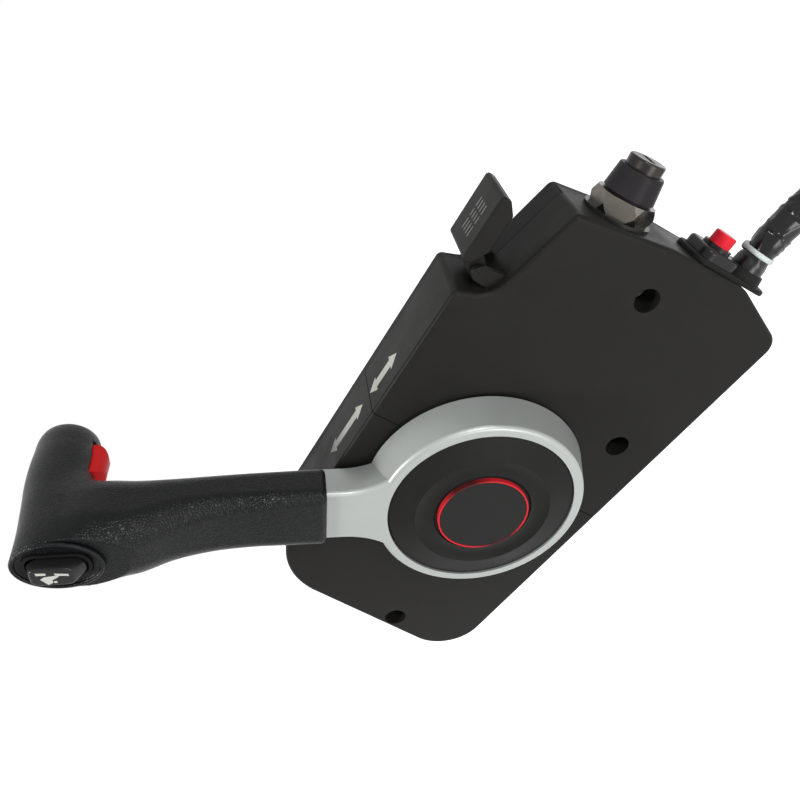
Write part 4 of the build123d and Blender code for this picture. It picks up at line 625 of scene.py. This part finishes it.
class THROTTLE_OT_lever(bpy.types.Operator):
    """Clear-coated silver casting with its hub cover, cap and thin red ring"""
    bl_idname = "throttle.lever"
    bl_label = "Lever"

    def execute(self, context):
        look = context.scene.throttle_lever
        silver = Finish("lever_silver", look.silver, 0.38, metallic=0.4, coat=0.35, coat_roughness=0.3)
        texture = silver.effect(GROUPS["moulded"], Grain=1400.0, Gloss_Low=0.36, Gloss_High=0.5)
        silver.two_tone(texture.outputs["Tone"], look.silver_dark)
        silver.link(texture.outputs["Roughness"], "Roughness")
        silver.bump(texture.outputs["Height"], 0.3, 0.00003)
        FINISHES["lever_silver"] = silver.material
        moulded("hub_cover_black", look.cover_colour, tuple(1.5 * c for c in look.cover_colour),
                1500.0, (0.38, 0.52), 0.00004)
        moulded("cap_black", look.cap_colour, tuple(1.6 * c for c in look.cap_colour),
                700.0, (0.28, 0.42), 0.00002)
        accent_red(look)
        dress(["lever_arm"], "lever_silver")
        dress(["hub_cover"], "hub_cover_black")
        dress(["hub_cap"], "cap_black")
        dress(["hub_accent_ring"], "accent_red")
        return {"FINISHED"}


# sections of the grip, in millimetres: the middle of the arm is at this height
ARM_MIDDLE = 70.2
BAR_ROWS = np.array([        # rise from the arm's middle, half width, half thickness, shift outwards
    (-51.2, 9.8, 10.4, 2.0),
    (-46.2, 11.6, 12.8, 1.8),
    (-34.2, 13.0, 14.2, 1.0),
    (-16.2, 13.8, 14.4, 0.0),
    (-0.2, 14.2, 15.0, -2.8),
    (13.8, 13.6, 16.2, -5.6),
    (25.6, 12.6, 17.6, -7.6)])
SLEEVE_ROWS = np.array([     # distance along the lever, half width, half depth, rise, corner radius
    (67.5, 15.4, 9.9, 1.0, 5.0),
    (84.0, 15.3, 10.1, 1.2, 5.7),
    (100.0, 15.2, 10.4, 1.4, 6.5),
    (116.0, 15.3, 11.5, 2.5, 8.0),
    (130.0, 15.5, 13.8, 4.6, 10.0),
    (144.0, 16.0, 17.4, 7.8, 12.0),
    (157.0, 16.2, 18.6, 8.0, 13.0),
    (170.0, 13.8, 17.6, 8.0, 13.0)])
BAR_LOW = ARM_MIDDLE + BAR_ROWS[0, 0]
BAR_ROUNDING = 5.0
SLOT_CORNER, SLOT_LIP = 0.4, 0.7      # rounding inside the slots, and of their mouths
SLEEVE_LIP, SLEEVE_FADE = 2.2, 12.0   # rounding of the sleeve's start, and of its end in the bar
SLEEVE_END = 173.0
TRIGGER_SLOT = (-6.8, 150.0, 31.2), (6.8, 176.5, 50.8)       # (across, along, height) corners
POST_CHANNEL = (-3.7, 164.8, 48.0), (3.7, 176.5, 66.0)
SWITCH_OPENING = 6.5, 13.0, 3.4       # half width, half length, and how square it is
SWITCH_POCKET = (-6.9, 157.9, 84.0), (6.9, 184.7, 99.0)


def ease(rows, at):
    """Each column of rows after the first, as a smooth curve over the first, read at points."""
    stations = rows[:, 0]
    fine = np.linspace(stations[0], stations[-1], 400)
    slopes = np.gradient(rows[:, 1:], stations, axis=0)
    k = np.clip(np.searchsorted(stations, fine, side="right") - 1, 0, len(stations) - 2)
    gap = stations[k + 1] - stations[k]
    t = ((fine - stations[k]) / gap)[:, None]
    gap = gap[:, None]
    table = ((2 * t ** 3 - 3 * t ** 2 + 1) * rows[k, 1:] + (t ** 3 - 2 * t ** 2 + t) * gap * slopes[k]
             + (3 * t ** 2 - 2 * t ** 3) * rows[k + 1, 1:] + (t ** 3 - t ** 2) * gap * slopes[k + 1])
    return [np.interp(at, fine, column) for column in table.T]


def rounded_both(a, b, radius):
    """Distance to what lies inside both of two shapes, with the edge between them rounded."""
    inner = np.minimum(np.maximum(a + radius, b + radius), 0)
    return inner + np.hypot(np.maximum(a + radius, 0), np.maximum(b + radius, 0)) - radius


def bar_field(across, along, height, bar, end_height):
    """Distance to the cross bar: an oval whose size follows the height, rounded at its inner end."""
    half_w, half_t, shift = ease(BAR_ROWS, height - ARM_MIDDLE)
    u, v = across / half_w, (along - bar - shift) / half_t
    reach = np.hypot(u, v)
    slope = np.hypot(u / half_w, v / half_t) + 1e-9
    oval = reach * (reach - 1) / slope
    return np.maximum(rounded_both(oval, BAR_LOW - height, BAR_ROUNDING), height - end_height)


def sleeve_field(across, along, height, start):
    """Distance to the sleeve: a rounded rectangle whose size follows the way along the lever."""
    half_w, half_d, rise, corner = ease(SLEEVE_ROWS, along)
    a = np.abs(across) - half_w + corner
    b = np.abs(height - ARM_MIDDLE - rise) - half_d + corner
    section = np.minimum(np.maximum(a, b), 0) + np.hypot(np.maximum(a, 0), np.maximum(b, 0)) - corner
    return rounded_both(rounded_both(section, start - along, SLEEVE_LIP), along - SLEEVE_END, SLEEVE_FADE)


def box_field(across, along, height, low, high, radius):
    """Distance to a box with rounded edges, between two corners."""
    middle, half = (np.array(low) + high) / 2, (np.array(high) - low) / 2
    a, b, c = (np.abs(p - m) - h + radius for p, m, h in zip((across, along, height), middle, half))
    outside = np.sqrt(np.maximum(a, 0) ** 2 + np.maximum(b, 0) ** 2 + np.maximum(c, 0) ** 2)
    return outside + np.minimum(np.maximum(np.maximum(a, b), c), 0) - radius


def grip_field(across, along, height, look):
    """The sleeve and the bar run into one another softly, less the trigger's and the switch's room."""
    bar = bar_field(across, along, height, mm(look.bar), mm(look.end_height) - mm(look.rim))
    sleeve = sleeve_field(across, along, height, mm(look.start))
    blend = mm(look.blend)
    near = np.maximum(blend - np.abs(bar - sleeve), 0) / blend
    whole = np.minimum(bar, sleeve) - near ** 2 * blend / 4
    whole = np.maximum(whole, height - mm(look.end_height) + mm(look.rim))
    slot = box_field(across, along, height, *TRIGGER_SLOT, SLOT_CORNER)
    channel = box_field(across, along, height, *POST_CHANNEL, SLOT_CORNER)
    pocket = box_field(across, along, height, *SWITCH_POCKET, SLOT_CORNER)
    return rounded_both(whole, -np.minimum(np.minimum(slot, channel), pocket), SLOT_LIP)


def grip_end(name, look):
    """The bar's outer end: an oval carried through a bead, then over a sunk floor to the switch.

    Ring k of the surface is the bar's oval, moved in by an amount and set at a height that the bead's
    profile gives.  Past the bead the oval turns into the switch opening's rounded rectangle.
    """
    angle = np.linspace(0, 2 * np.pi, 144, endpoint=False)
    end, rim = mm(look.end_height), mm(look.rim)
    profile = soft_profile([(0.5, -rim - 1.0, 0), (0.5, -rim + 0.2, 0.3), (0.0, -rim + 0.2, 0.25),
                            (0.0, -0.2, 1.1), (rim, 0.0, 1.0), (rim + 0.2, -1.3, 0.4),
                            (rim + 1.2, -1.5, 0)])
    half_w, half_t, shift = ease(BAR_ROWS, np.minimum(end + profile[:, 1] - ARM_MIDDLE, BAR_ROWS[-1, 0]))
    across = (half_w - profile[:, 0])[:, None] * np.cos(angle)
    along = (half_t - profile[:, 0])[:, None] * np.sin(angle)
    height = np.broadcast_to((end + profile[:, 1])[:, None], across.shape)
    # the switch opening, met at the same angles
    open_w, open_l, power = SWITCH_OPENING
    reach = (np.abs(np.cos(angle) / open_w) ** power
             + np.abs(np.sin(angle) / open_l) ** power) ** (-1 / power)
    hole_x, hole_y = reach * np.cos(angle), reach * np.sin(angle)
    steps = [(0.5, -1.55), (1.0, -1.6), (1.0, -4.0)]
    across = np.vstack([across] + [across[-1] + (hole_x - across[-1]) * t for t, _ in steps])
    along = np.vstack([along] + [along[-1] + (hole_y - along[-1]) * t for t, _ in steps])
    height = np.vstack([height] + [np.full_like(angle, end + drop)[None] for _, drop in steps])
    middle = mm(look.bar) + shift[-1]
    points = from_lever(across, middle + along, height)
    return mesh_object(name, points, [grid_quads(len(points), len(angle), wrap_cols=True)[:, ::-1]],
                       sharp_deg=50, outward=False)


class THROTTLE_OT_grip(bpy.types.Operator):
    """Soft black grip: a sleeve that runs into a cross bar, with a beaded outer end"""
    bl_idname = "throttle.grip"
    bl_label = "Grip"

    def execute(self, context):
        look = context.scene.throttle_grip
        finish = Finish("grip_black", look.colour, 0.27, specular=0.15)
        grain = finish.effect(GROUPS["leather"], Pebble=950.0)
        finish.two_tone(grain.outputs["Crown"], look.crown_colour)
        finish.link(range_node(finish.tree, grain.outputs["Tone"], 0.3, 0.7, 0.22, 0.36), "Roughness")
        finish.bump(grain.outputs["Height"], 0.55, 0.00016)
        FINISHES["grip_black"] = finish.material
        step = 0.8
        body = implicit_surface("grip_body", lambda x, y, z: grip_field(x, y, z, look),
                                (-24.0, 63.0, 16.0), (24.0, 197.0, mm(look.end_height) + 1.0), step)
        end = grip_end("grip_end", look)
        for piece in (body, end):
            finish_piece(piece, "grip_black", "lever")
            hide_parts("grip")
        return {"FINISHED"}


ROCKER_AT, ROCKER_TOP = 171.4, 102.6     # its middle along the lever, and the height of its face
ROCKER_ROWS = np.array([     # height, half width, reach outwards, reach inwards
    (96.2, 4.2, 1.6, 1.6),
    (97.0, 4.7, 10.3, 10.3),
    (97.8, 4.7, 10.8, 10.8),
    (ROCKER_TOP, 4.5, 8.6, 7.2)])
ROCKER_PICTOGRAM = (         # (across, along) outlines of a plain pictogram
    ((2.9, 6.2), (2.7, 2.5), (1.5, 2.5), (1.6, 6.0)),
    ((2.4, -0.5), (1.8, -5.5), (0.7, -5.7), (1.3, -0.9)),
    ((-0.6, 4.9), (0.6, 3.3), (1.0, 0.4), (1.2, -2.5), (0.0, -1.2), (-1.2, 0.6), (-2.8, 0.7),
     (-3.7, 2.4), (-2.6, 3.3)),
    ((-1.8, 0.3), (-1.8, -0.9), (-2.8, -0.9), (-2.8, 0.3)))


def rocker_cap(name):
    """The rocker: rounded rectangles stacked by height, with a rounded edge round its face.

    A ring's point at an angle is its half sizes times the cosine and sine, each raised to a power
    with its sign kept.  The power falls with height, so that the rings are nearly oval inside the
    bezel and nearly square on the face.  Over the rounded edge the rings move in and up along a
    quarter of a circle.
    """
    angle = np.linspace(0, 2 * np.pi, 96, endpoint=False)
    edge, turn = 0.8, np.linspace(0, np.pi / 2, 7)
    height = np.concatenate([ROCKER_ROWS[:-1, 0], ROCKER_TOP - edge + edge * np.sin(turn)])
    inset = np.concatenate([np.zeros(len(ROCKER_ROWS) - 1), edge * (1 - np.cos(turn))])
    half_w, outer, inner = (np.interp(height, ROCKER_ROWS[:, 0], c)[:, None] - inset[:, None]
                            for c in ROCKER_ROWS[:, 1:].T)
    power = np.interp(height, ROCKER_ROWS[-2:, 0], (0.66, 0.4))[:, None]
    cos, sin = (np.sign(w) * np.abs(w) ** power for w in (np.cos(angle), np.sin(angle)))
    along = ROCKER_AT + np.where(sin > 0, outer * sin, inner * sin)
    points = from_lever(half_w * cos, along, np.broadcast_to(height[:, None], along.shape))
    size = len(angle)
    ends = [[list(range(size))], [list(range((len(height) - 1) * size, len(height) * size))]]
    return mesh_object(name, points, [grid_quads(len(height), size, wrap_cols=True), *ends], sharp_deg=50)


class THROTTLE_OT_switches(bpy.types.Operator):
    """Lock trigger, trim rocker, key switch and stop switch"""
    bl_idname = "throttle.switches"
    bl_label = "Switches"

    def execute(self, context):
        look = context.scene.throttle_switches
        moulded("trigger_red", look.red, tuple(0.75 * c for c in look.red), 900.0, (0.30, 0.42), 0.00003)
        moulded("button_red", look.button_red, tuple(0.8 * c for c in look.button_red), 900.0,
                (0.25, 0.36), 0.00002)
        moulded("switch_black", look.black, tuple(2.0 * c for c in look.black), 1100.0, (0.2, 0.34),
                0.00003, specular=0.18)
        moulded("bezel_dark", look.bezel, tuple(1.6 * c for c in look.bezel), 1100.0, (0.3, 0.45), 0.00003)
        machined("nut_metal", look.nickel, tuple(0.7 * c for c in look.nickel), (0.2, 0.36),
                 (300.0, 900.0, 300.0))
        machined("rotor_metal", (0.045, 0.040, 0.038), (0.026, 0.023, 0.022), (0.22, 0.36),
                 (900.0, 900.0, 900.0))
        dress(["lock_trigger"], "trigger_red")
        dress(["stop_button"], "button_red")
        # painted shade: the trim switch's bezel is made darker than the switch black, standing in for the
        # shade in the grip's switch pocket
        moulded("pocket_painted_shade", (0.003, 0.003, 0.003), (0.006, 0.006, 0.006), 1100.0, (0.5, 0.62),
                0.00003, specular=0.1)
        dress(["trim_switch_body", "trim_rocker", "stop_switch", "key_switch_body",
               "key_switch_washer"], "switch_black")
        dress(["trim_switch_bezel"], "pocket_painted_shade")
        cap = finish_piece(rocker_cap("rocker_cap"), "switch_black", "trim")
        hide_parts("trim_rocker")
        for number, outline in enumerate(ROCKER_PICTOGRAM):
            mark = printed_shape(f"rocker_mark_{number}", outline, lambda a, l, rise: from_lever(
                a, ROCKER_AT + l, ROCKER_TOP + rise), 0.08)
            finish_piece(mark, "ink", "trim")
        dress(["key_switch_bezel"], "bezel_dark")
        dress(["key_switch_nut"], "nut_metal")
        dress(["key_rotor"], "rotor_metal")
        return {"FINISHED"}


# the harness's way from its gland to its plug, in metres
HARNESS_POINTS = (
    (0.1372, -0.0450, -0.0505),
    (0.1790, -0.0450, -0.0505),
    (0.2140, -0.0440, -0.0695),
    (0.2365, -0.0410, -0.1050),
    (0.2420, -0.0380, -0.1650),
    (0.2375, -0.0360, -0.2400),
    (0.2400, -0.0365, -0.3180),
)


def route_curve(name, points):
    """An open NURBS curve of order 3 that ends on its first and last points."""
    data = bpy.data.curves.new(name, "CURVE")
    data.dimensions = "3D"
    data.resolution_u = 24
    spline = data.splines.new("NURBS")
    spline.points.add(len(points) - 1)
    spline.points.foreach_set("co", np.hstack([points, np.ones((len(points), 1))]).ravel())
    spline.order_u = 3
    spline.use_endpoint_u = True
    return bpy.data.objects.new(name, data)


def route_points(points):
    """Points along the route's own line, and the length to each, in metres."""
    curve = route_curve("harness_route", points)
    bpy.context.scene.collection.objects.link(curve)
    line = bpy.data.meshes.new_from_object(curve)
    found = np.empty(3 * len(line.vertices))
    line.vertices.foreach_get("co", found)
    found = found.reshape(-1, 3)
    bpy.data.objects.remove(curve)
    bpy.data.meshes.remove(line)
    run = np.concatenate([[0], np.cumsum(np.linalg.norm(np.diff(found, axis=0), axis=1))])
    return found, run


def crinkled_tube(name, points, run, radius, depth, tie_at):
    """A sheath drawn along a line, creased like film.

    Seeds are scattered over the unrolled tube.  The radius at a point falls with its distance from
    the nearest seed's cell border, so that flat facets meet in creases, and it narrows at the tie.
    """
    rows, cols, cells = 620, 56, 420
    stretch, cell_slope, crease_width, tuck_width = 0.6, 0.006, 0.0016, 0.0035
    s = np.linspace(0, run[-1], rows)
    line = np.stack([np.interp(s, run, points[:, i]) for i in range(3)], axis=1)
    ahead = np.gradient(line, axis=0)
    ahead /= np.linalg.norm(ahead, axis=1)[:, None]
    side = np.cross(ahead, (0.0, -1.0, 0.0))
    side /= np.linalg.norm(side, axis=1)[:, None]
    up = np.cross(ahead, side)
    angle = np.linspace(0, 2 * np.pi, cols, endpoint=False)
    rng = np.random.default_rng(7)
    seeds = np.stack([rng.uniform(0, run[-1], cells), rng.uniform(0, 2 * np.pi, cells)], axis=1)
    tilt = rng.uniform(-1, 1, (cells, 2))
    rise = rng.uniform(-1, 1, cells)
    best, second = np.full((rows, cols), 9.0), np.full((rows, cols), 9.0)
    facet = np.zeros((rows, cols))
    for (at, turn), (ts, ta), lift in zip(seeds, tilt, rise):
        ds = (s - at)[:, None] / stretch
        da = radius * (np.mod(angle - turn + np.pi, 2 * np.pi) - np.pi)[None]
        away = np.hypot(ds, da)
        closer = away < best
        second = np.where(closer, best, np.minimum(second, away))
        plane = 0.35 * lift + (ts * ds + ta * da) / cell_slope
        facet = np.where(closer, plane, facet)
        best = np.minimum(best, away)
    crease = 1 - np.clip((second - best) / crease_width, 0, 1)
    tuck = np.exp(-((s - tie_at) / tuck_width) ** 2)[:, None]
    calm = np.clip(s / 0.004, 0.15, 1)[:, None] * np.clip((run[-1] - s) / 0.008, 0.15, 1)[:, None]
    shape = radius - depth * calm * (0.55 + 0.45 * np.tanh(facet) - 0.5 * crease) * (1 - 0.7 * tuck)
    shape = np.minimum(shape, radius) - 0.15 * radius * tuck
    ring = np.cos(angle)[None, :, None] * side[:, None] + np.sin(angle)[None, :, None] * up[:, None]
    tube = line[:, None] + shape[..., None] * ring
    return mesh_object(name, tube, [grid_quads(rows, cols, wrap_cols=True), [list(range(cols))],
                                    [list(range((rows - 1) * cols, rows * cols))]], sharp_deg=50)


def strap(name, middle, radius, width, thickness):
    """A thin strap round the harness, whose section is a flat oval, with a small head.

    A ring of the strap is a circle of the radius about the X axis; the section is an ellipse of the
    width and thickness.  The section grows over a short arc, as a bell curve, to make the head.
    """
    around = np.linspace(0, 2 * np.pi, 96, endpoint=False)
    section = np.linspace(0, 2 * np.pi, 16, endpoint=False)
    head = np.exp(-(np.mod(around - 0.9 + np.pi, 2 * np.pi) - np.pi) ** 2 / 0.05)
    ring = radius + thickness * (0.5 + 0.5 * np.sin(section)[None] * (1 + 1.3 * head[:, None]))
    along = middle[0] + width / 2 * np.cos(section)[None] * (1 + 0.8 * head[:, None])
    points = np.stack([along, middle[1] + ring * np.cos(around)[:, None],
                       middle[2] + ring * np.sin(around)[:, None]], axis=-1)
    return mesh_object(name, points, [grid_quads(len(around), len(section), True, True)], sharp_deg=60)


class THROTTLE_OT_harness(bpy.types.Operator):
    """Sheathed harness that hangs from its gland, with its tie and plug"""
    bl_idname = "throttle.harness"
    bl_label = "Harness"

    def execute(self, context):
        look = context.scene.throttle_harness
        moulded("sheath_black", look.colour, tuple(1.8 * c for c in look.colour), 500.0, (0.16, 0.34),
                0.00012, specular=0.28)
        moulded("tie_grey", look.tie_colour, tuple(0.9 * c for c in look.tie_colour), 700.0,
                (0.34, 0.46), 0.00003)
        moulded("plug_grey", (0.035, 0.035, 0.037), (0.05, 0.05, 0.052), 900.0, (0.42, 0.55), 0.00006)
        points, run = route_points(np.array(HARNESS_POINTS))
        low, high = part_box("harness_tie")
        tie_at = (low[0] + high[0]) / 2 - HARNESS_POINTS[0][0]
        tube = crinkled_tube("harness_sheath", points, run, look.diameter / 2, look.crinkle, tie_at)
        finish_piece(tube, "sheath_black", "housing")
        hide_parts("harness")
        tie = strap("tie_strap", ((low[0] + high[0]) / 2, HARNESS_POINTS[0][1], HARNESS_POINTS[0][2]),
                    0.82 * look.diameter / 2, look.tie_width, look.tie_thickness)
        finish_piece(tie, "tie_grey", "housing")
        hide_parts("harness_tie")
        dress(["harness_plug"], "plug_grey")
        return {"FINISHED"}


# where the camera stands, and its axes: right, up and back, in the row frame
CAMERA_AT = (0.16909, -0.30506, 0.17791)
CAMERA_RIGHT = (0.50323, -0.13668, -0.85328)
CAMERA_UP = (0.73044, 0.59490, 0.33549)
CAMERA_BACK = (0.46176, -0.79209, 0.39921)


LAMPS_AIM = (0.0, -0.05, 0.05)
LAMPS = (                    # name, place, side, watts
    ("key", (0.26, -1.00, -0.20), 0.36, 4.5),
    ("side", (0.80, -0.74, 0.42), 0.24, 6.0),
    ("top", (-0.55, -0.53, 1.00), 0.24, 13.0))


def add_lamp(name, at, aim, size, power):
    """A square area lamp at a place, pointed at another."""
    data = bpy.data.lights.new(name, "AREA")
    data.shape = "SQUARE"
    data.size, data.energy = size, power
    lamp = bpy.data.objects.new(name, data)
    bpy.context.scene.collection.objects.link(lamp)
    lamp.location = at
    lamp.rotation_euler = (Vector(aim) - Vector(at)).to_track_quat("-Z", "Y").to_euler()
    return lamp


def seen_directly(tree):
    """One where a ray comes from the camera or from a reflection, and nought elsewhere."""
    rays = tree.nodes.new("ShaderNodeLightPath")
    return math_node(tree, "MAXIMUM", math_node(tree, "MAXIMUM", rays.outputs["Is Camera Ray"],
                                                rays.outputs["Is Glossy Ray"]),
                     rays.outputs["Is Transmission Ray"])


class THROTTLE_OT_stage(bpy.types.Operator):
    """Plain pale floor, soft studio light and the camera"""
    bl_idname = "throttle.stage"
    bl_label = "Stage"

    def execute(self, context):
        look = context.scene.throttle_stage
        scene = context.scene
        scene.view_settings.view_transform = "Standard"
        world = bpy.data.worlds.new("studio")
        scene.world = world
        world.use_nodes = True
        tree = world.node_tree
        plain = tree.nodes["Background"]
        plain.inputs["Color"].default_value = (1.0, 1.0, 1.0, 1.0)
        plain.inputs["Strength"].default_value = look.sky
        white = tree.nodes.new("ShaderNodeBackground")
        white.inputs["Color"].default_value = (1.0, 1.0, 1.0, 1.0)
        white.inputs["Strength"].default_value = 1.0
        mix = tree.nodes.new("ShaderNodeMixShader")
        tree.links.new(seen_directly(tree), mix.inputs[0])
        tree.links.new(plain.outputs[0], mix.inputs[1])
        tree.links.new(white.outputs[0], mix.inputs[2])
        tree.links.new(mix.outputs[0], tree.nodes["World Output"].inputs["Surface"])

        low = min(CAD_BOX[0][2], CAD_BOX[1][2]) - 0.001
        points = np.array([(x, y, low) for x, y in ((-3, -3), (3, -3), (3, 3), (-3, 3))], float)
        floor = mesh_object("floor", points, [[[0, 1, 2, 3]]], outward=False)
        finish = Finish("floor_paint", look.floor_colour, 0.9, specular=0.1)
        grain = finish.effect(GROUPS["moulded"], Grain=40.0, Gloss_Low=0.85, Gloss_High=0.95)
        finish.link(grain.outputs["Roughness"], "Roughness")
        finish.bsdf.inputs["Emission Color"].default_value = (1.0, 1.0, 1.0, 1.0)
        finish.link(math_node(finish.tree, "MULTIPLY", seen_directly(finish.tree), look.floor_lift),
                    "Emission Strength")
        floor.data.materials.append(finish.material)

        for name, at, size, power in LAMPS:
            add_lamp(name, at, LAMPS_AIM, size, power * look.lamps)

        data = bpy.data.cameras.new("camera")
        data.lens, data.sensor_width, data.clip_start = look.lens, 36.0, 0.01
        camera = bpy.data.objects.new("camera", data)
        scene.collection.objects.link(camera)
        camera.matrix_world = Matrix((
            (CAMERA_RIGHT[0], CAMERA_UP[0], CAMERA_BACK[0], CAMERA_AT[0]),
            (CAMERA_RIGHT[1], CAMERA_UP[1], CAMERA_BACK[1], CAMERA_AT[1]),
            (CAMERA_RIGHT[2], CAMERA_UP[2], CAMERA_BACK[2], CAMERA_AT[2]),
            (0.0, 0.0, 0.0, 1.0)))
        scene.camera = camera
        return {"FINISHED"}


SETTINGS = {
    "throttle_case": CaseSettings,
    "throttle_markings": MarkingSettings,
    "throttle_lever": LeverSettings,
    "throttle_grip": GripSettings,
    "throttle_switches": SwitchSettings,
    "throttle_harness": HarnessSettings,
    "throttle_stage": StageSettings,
}
OPERATORS = (THROTTLE_OT_case, THROTTLE_OT_markings, THROTTLE_OT_lever, THROTTLE_OT_grip,
             THROTTLE_OT_switches, THROTTLE_OT_mechanism, THROTTLE_OT_harness, THROTTLE_OT_stage)


class THROTTLE_PT_panel(bpy.types.Panel):
    """Sidebar list of the pieces and their settings"""
    bl_idname = "THROTTLE_PT_panel"
    bl_label = "Throttle control"
    bl_space_type = "VIEW_3D"
    bl_region_type = "UI"
    bl_category = "Throttle"

    def draw(self, context):
        for operator in OPERATORS:
            self.layout.operator(operator.bl_idname)
        for name, settings in SETTINGS.items():
            box = self.layout.box()
            for label in settings.__annotations__:
                box.prop(getattr(context.scene, name), label)


def register():
    """Adds the settings, operators and panel to Blender."""
    for settings in SETTINGS.values():
        bpy.utils.register_class(settings)
    for name, settings in SETTINGS.items():
        setattr(bpy.types.Scene, name, bpy.props.PointerProperty(type=settings))
    for kind in (*OPERATORS, THROTTLE_PT_panel):
        bpy.utils.register_class(kind)


def unregister():
    """Takes them away again."""
    for kind in (THROTTLE_PT_panel, *reversed(OPERATORS)):
        bpy.utils.unregister_class(kind)
    for name in SETTINGS:
        delattr(bpy.types.Scene, name)
    for settings in reversed(SETTINGS.values()):
        bpy.utils.unregister_class(settings)


def main():
    """Runs every operator."""
    register()
    GROUPS.update(moulded=moulded_texture_group(), leather=leather_group(), lines=lines_group())
    for operator in OPERATORS:
        getattr(bpy.ops.throttle, operator.bl_idname.split(".")[1])()
    bpy.context.view_layer.update()


if __name__ == "__main__":
    main()
